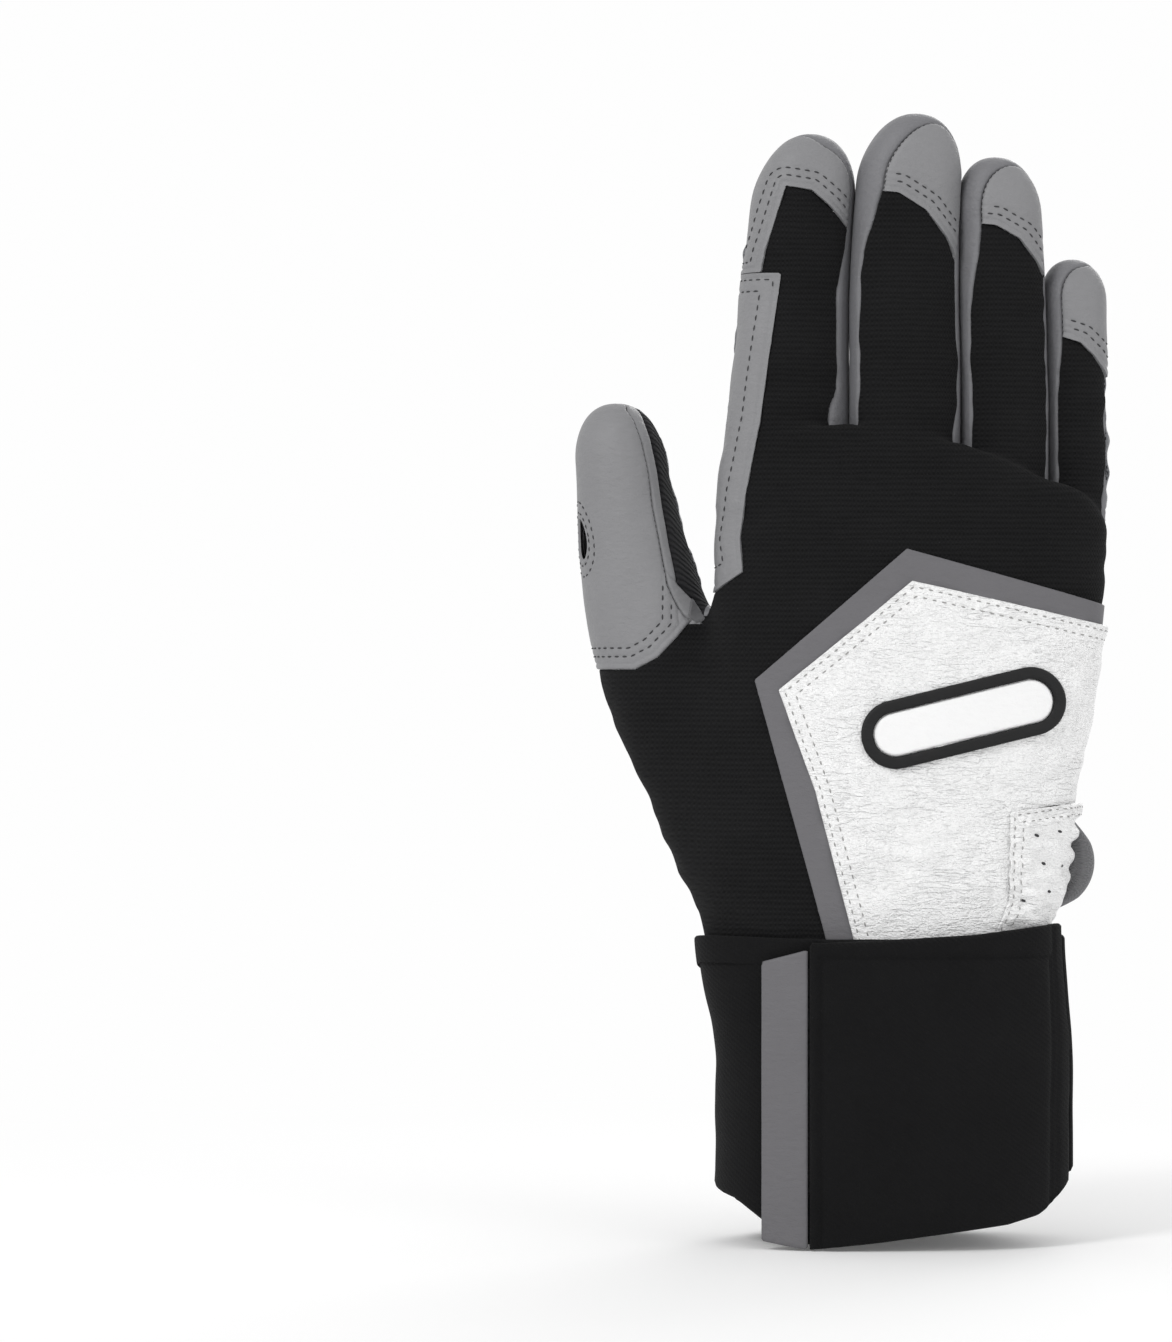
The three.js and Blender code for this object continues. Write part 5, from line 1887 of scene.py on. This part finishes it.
def make_look(name):
    """Gives a material its nodes: the colour, the roughness and the bump all follow its texture, with
    painted shade in the texture's hollows.
    """
    texture, low, high, roughness, bump_share, sheen = LOOKS[name]
    tree = material(name).node_tree
    shader = tree.nodes["Principled BSDF"]
    g = Graph(tree)
    place = g.rest()
    height, painted_shade_mask = use(g, TEXTURES[texture], place)
    # Slow noise gives tone that differs at random; the texture's mask paints its hollows darker and its
    # heights lighter, as painted shade and painted highlight
    share = g.math("MULTIPLY_ADD", g.noise(place, 0.05, 3.0), 0.6, g.math("MULTIPLY", painted_shade_mask, 0.5), clamp=True)
    tint = g.blend(share, linear(low), linear(high))
    smoothest = roughness - ROUGHNESS_SWING / 2
    uneven = g.math("MULTIPLY_ADD", g.noise(place, 0.4, 3.0), ROUGHNESS_SWING, smoothest)
    bumped = g.add("Bump", {"Strength": bump_share, "Distance": MM, "Height": height})
    g.feed(shader, {"Base Color": tint, "Roughness": uneven, "Normal": bumped})
    shader.inputs["Specular IOR Level"].default_value = 0.15 if roughness > 0.8 else 0.35
    shader.inputs["Sheen Weight"].default_value = sheen
    shader.inputs["Sheen Roughness"].default_value = 0.6


def dress_elastic():
    """The elastic behind the gathered panel is shown as it comes from the frame."""
    elastic = bpy.data.objects["wrist_elastic"]
    elastic.data.materials.clear()
    elastic.data.materials.append(material("elastic"))
    rest = elastic.data.attributes.new("rest", "FLOAT_VECTOR", "POINT")
    points = np.array([v.co for v in elastic.data.vertices], np.float32) / MM
    rest.data.foreach_set("vector", points.ravel())


dress_elastic()
for name in MATERIALS:
    make_look(name)


# Room, light and camera

def seen_share(g):
    """One for what the camera sees, straight or in a reflection or through something, and zero for light."""
    path = g.tree.nodes.new("ShaderNodeLightPath").outputs
    mirrored = g.math("MAXIMUM", path["Is Glossy Ray"], path["Is Transmission Ray"])
    return g.math("MAXIMUM", path["Is Camera Ray"], mirrored)


FLOOR_SIZE = 6.0
FLOOR_LEVEL = 254  # of the floor far away, as it looks on a screen
FLOOR_FADE = (0.1, 0.42)  # from here to there, in metres, the floor runs out into its plain far level
FLOOR_LIFT = 0.085  # what the near floor gets on top of the light it reflects


def make_floor():
    """A pale floor that keeps the glove's shadow near it and has one plain level far away."""
    bpy.ops.mesh.primitive_plane_add(size=FLOOR_SIZE, location=(0, 0, 0))
    floor = bpy.context.object
    floor.name = "studio_floor"
    look = bpy.data.materials.new("studio floor")
    look.use_nodes = True
    shader = look.node_tree.nodes["Principled BSDF"]
    g = Graph(look.node_tree)
    place = g.add("TexCoord", out=3)
    tint = g.blend(g.noise(place, 2.0), linear(250), linear(252))
    g.feed(shader, {"Base Color": tint, "Roughness": 0.9})
    away = g.add("VectorMath", {0: place}, out=1, operation="LENGTH")
    start, end = FLOOR_FADE
    fade = g.add("MapRange", {0: away, 1: start, 2: end, 3: 0.0, 4: 1.0}, interpolation_type="SMOOTHSTEP")
    seen = seen_share(g)
    pale = linear(FLOOR_LEVEL)
    lift = g.add("Emission", {"Color": pale, "Strength": g.math("MULTIPLY", seen, FLOOR_LIFT)})
    near = g.add("AddShader", {0: shader.outputs[0], 1: lift})
    far = g.add("Emission", {"Color": pale, "Strength": 1.0})
    whole = g.add("MixShader", {0: g.math("MULTIPLY", fade, seen), 1: near, 2: far})
    g.feed(look.node_tree.nodes["Material Output"], {"Surface": whole})
    floor.data.materials.append(look)


WORLD_LEVEL = 0.64  # what lights the glove
WORLD_SEEN_LEVEL = 0.99  # what the camera sees


def make_world():
    world = bpy.data.worlds.new("studio")
    bpy.context.scene.world = world
    world.use_nodes = True
    g = Graph(world.node_tree)
    strength = g.math("MULTIPLY_ADD", seen_share(g), WORLD_SEEN_LEVEL - WORLD_LEVEL, WORLD_LEVEL)
    background = world.node_tree.nodes["Background"]
    background.inputs["Color"].default_value = (1, 1, 1, 1)
    g.feed(background, {"Strength": strength})


def lamp(name, place, aim, size, watts):
    light = bpy.data.lights.new(name, "AREA")
    light.shape = "DISK"
    light.size = size
    light.energy = watts
    holder = bpy.data.objects.new(name, light)
    bpy.context.scene.collection.objects.link(holder)
    holder.location = place
    holder.rotation_euler = (Vector(aim) - holder.location).to_track_quat("-Z", "Y").to_euler()


FRAME_PIXELS = 1342
PIXELS_PER_MM = 3.9
FRAME_MIDDLE = np.array([-76.7, 0.0, 145.9])
CAMERA_AWAY = 1.3


def make_camera():
    """Straight in front of the glove's back, as in the right view of the photo."""
    data = bpy.data.cameras.new("camera")
    camera = bpy.data.objects.new("camera", data)
    bpy.context.scene.collection.objects.link(camera)
    bpy.context.scene.camera = camera
    camera.location = Vector(to_row(FRAME_MIDDLE)) + Vector((0, -CAMERA_AWAY, 0))
    camera.rotation_euler = (math.pi / 2, 0, 0)
    data.lens = data.sensor_width * CAMERA_AWAY / (FRAME_PIXELS / PIXELS_PER_MM * MM)
    data.clip_start = 0.05


make_floor()
make_world()
GLOVE_MIDDLE = (0, 0, 0.15)
lamp("key", (-1.1, -1.2, 1.5), GLOVE_MIDDLE, 0.6, 13)
lamp("fill", (1.3, -1.3, 0.7), GLOVE_MIDDLE, 1.2, 4)
lamp("back", (0.6, 1.6, 1.1), GLOVE_MIDDLE, 1.2, 9)
make_camera()
bpy.context.scene.view_settings.view_transform = "Standard"
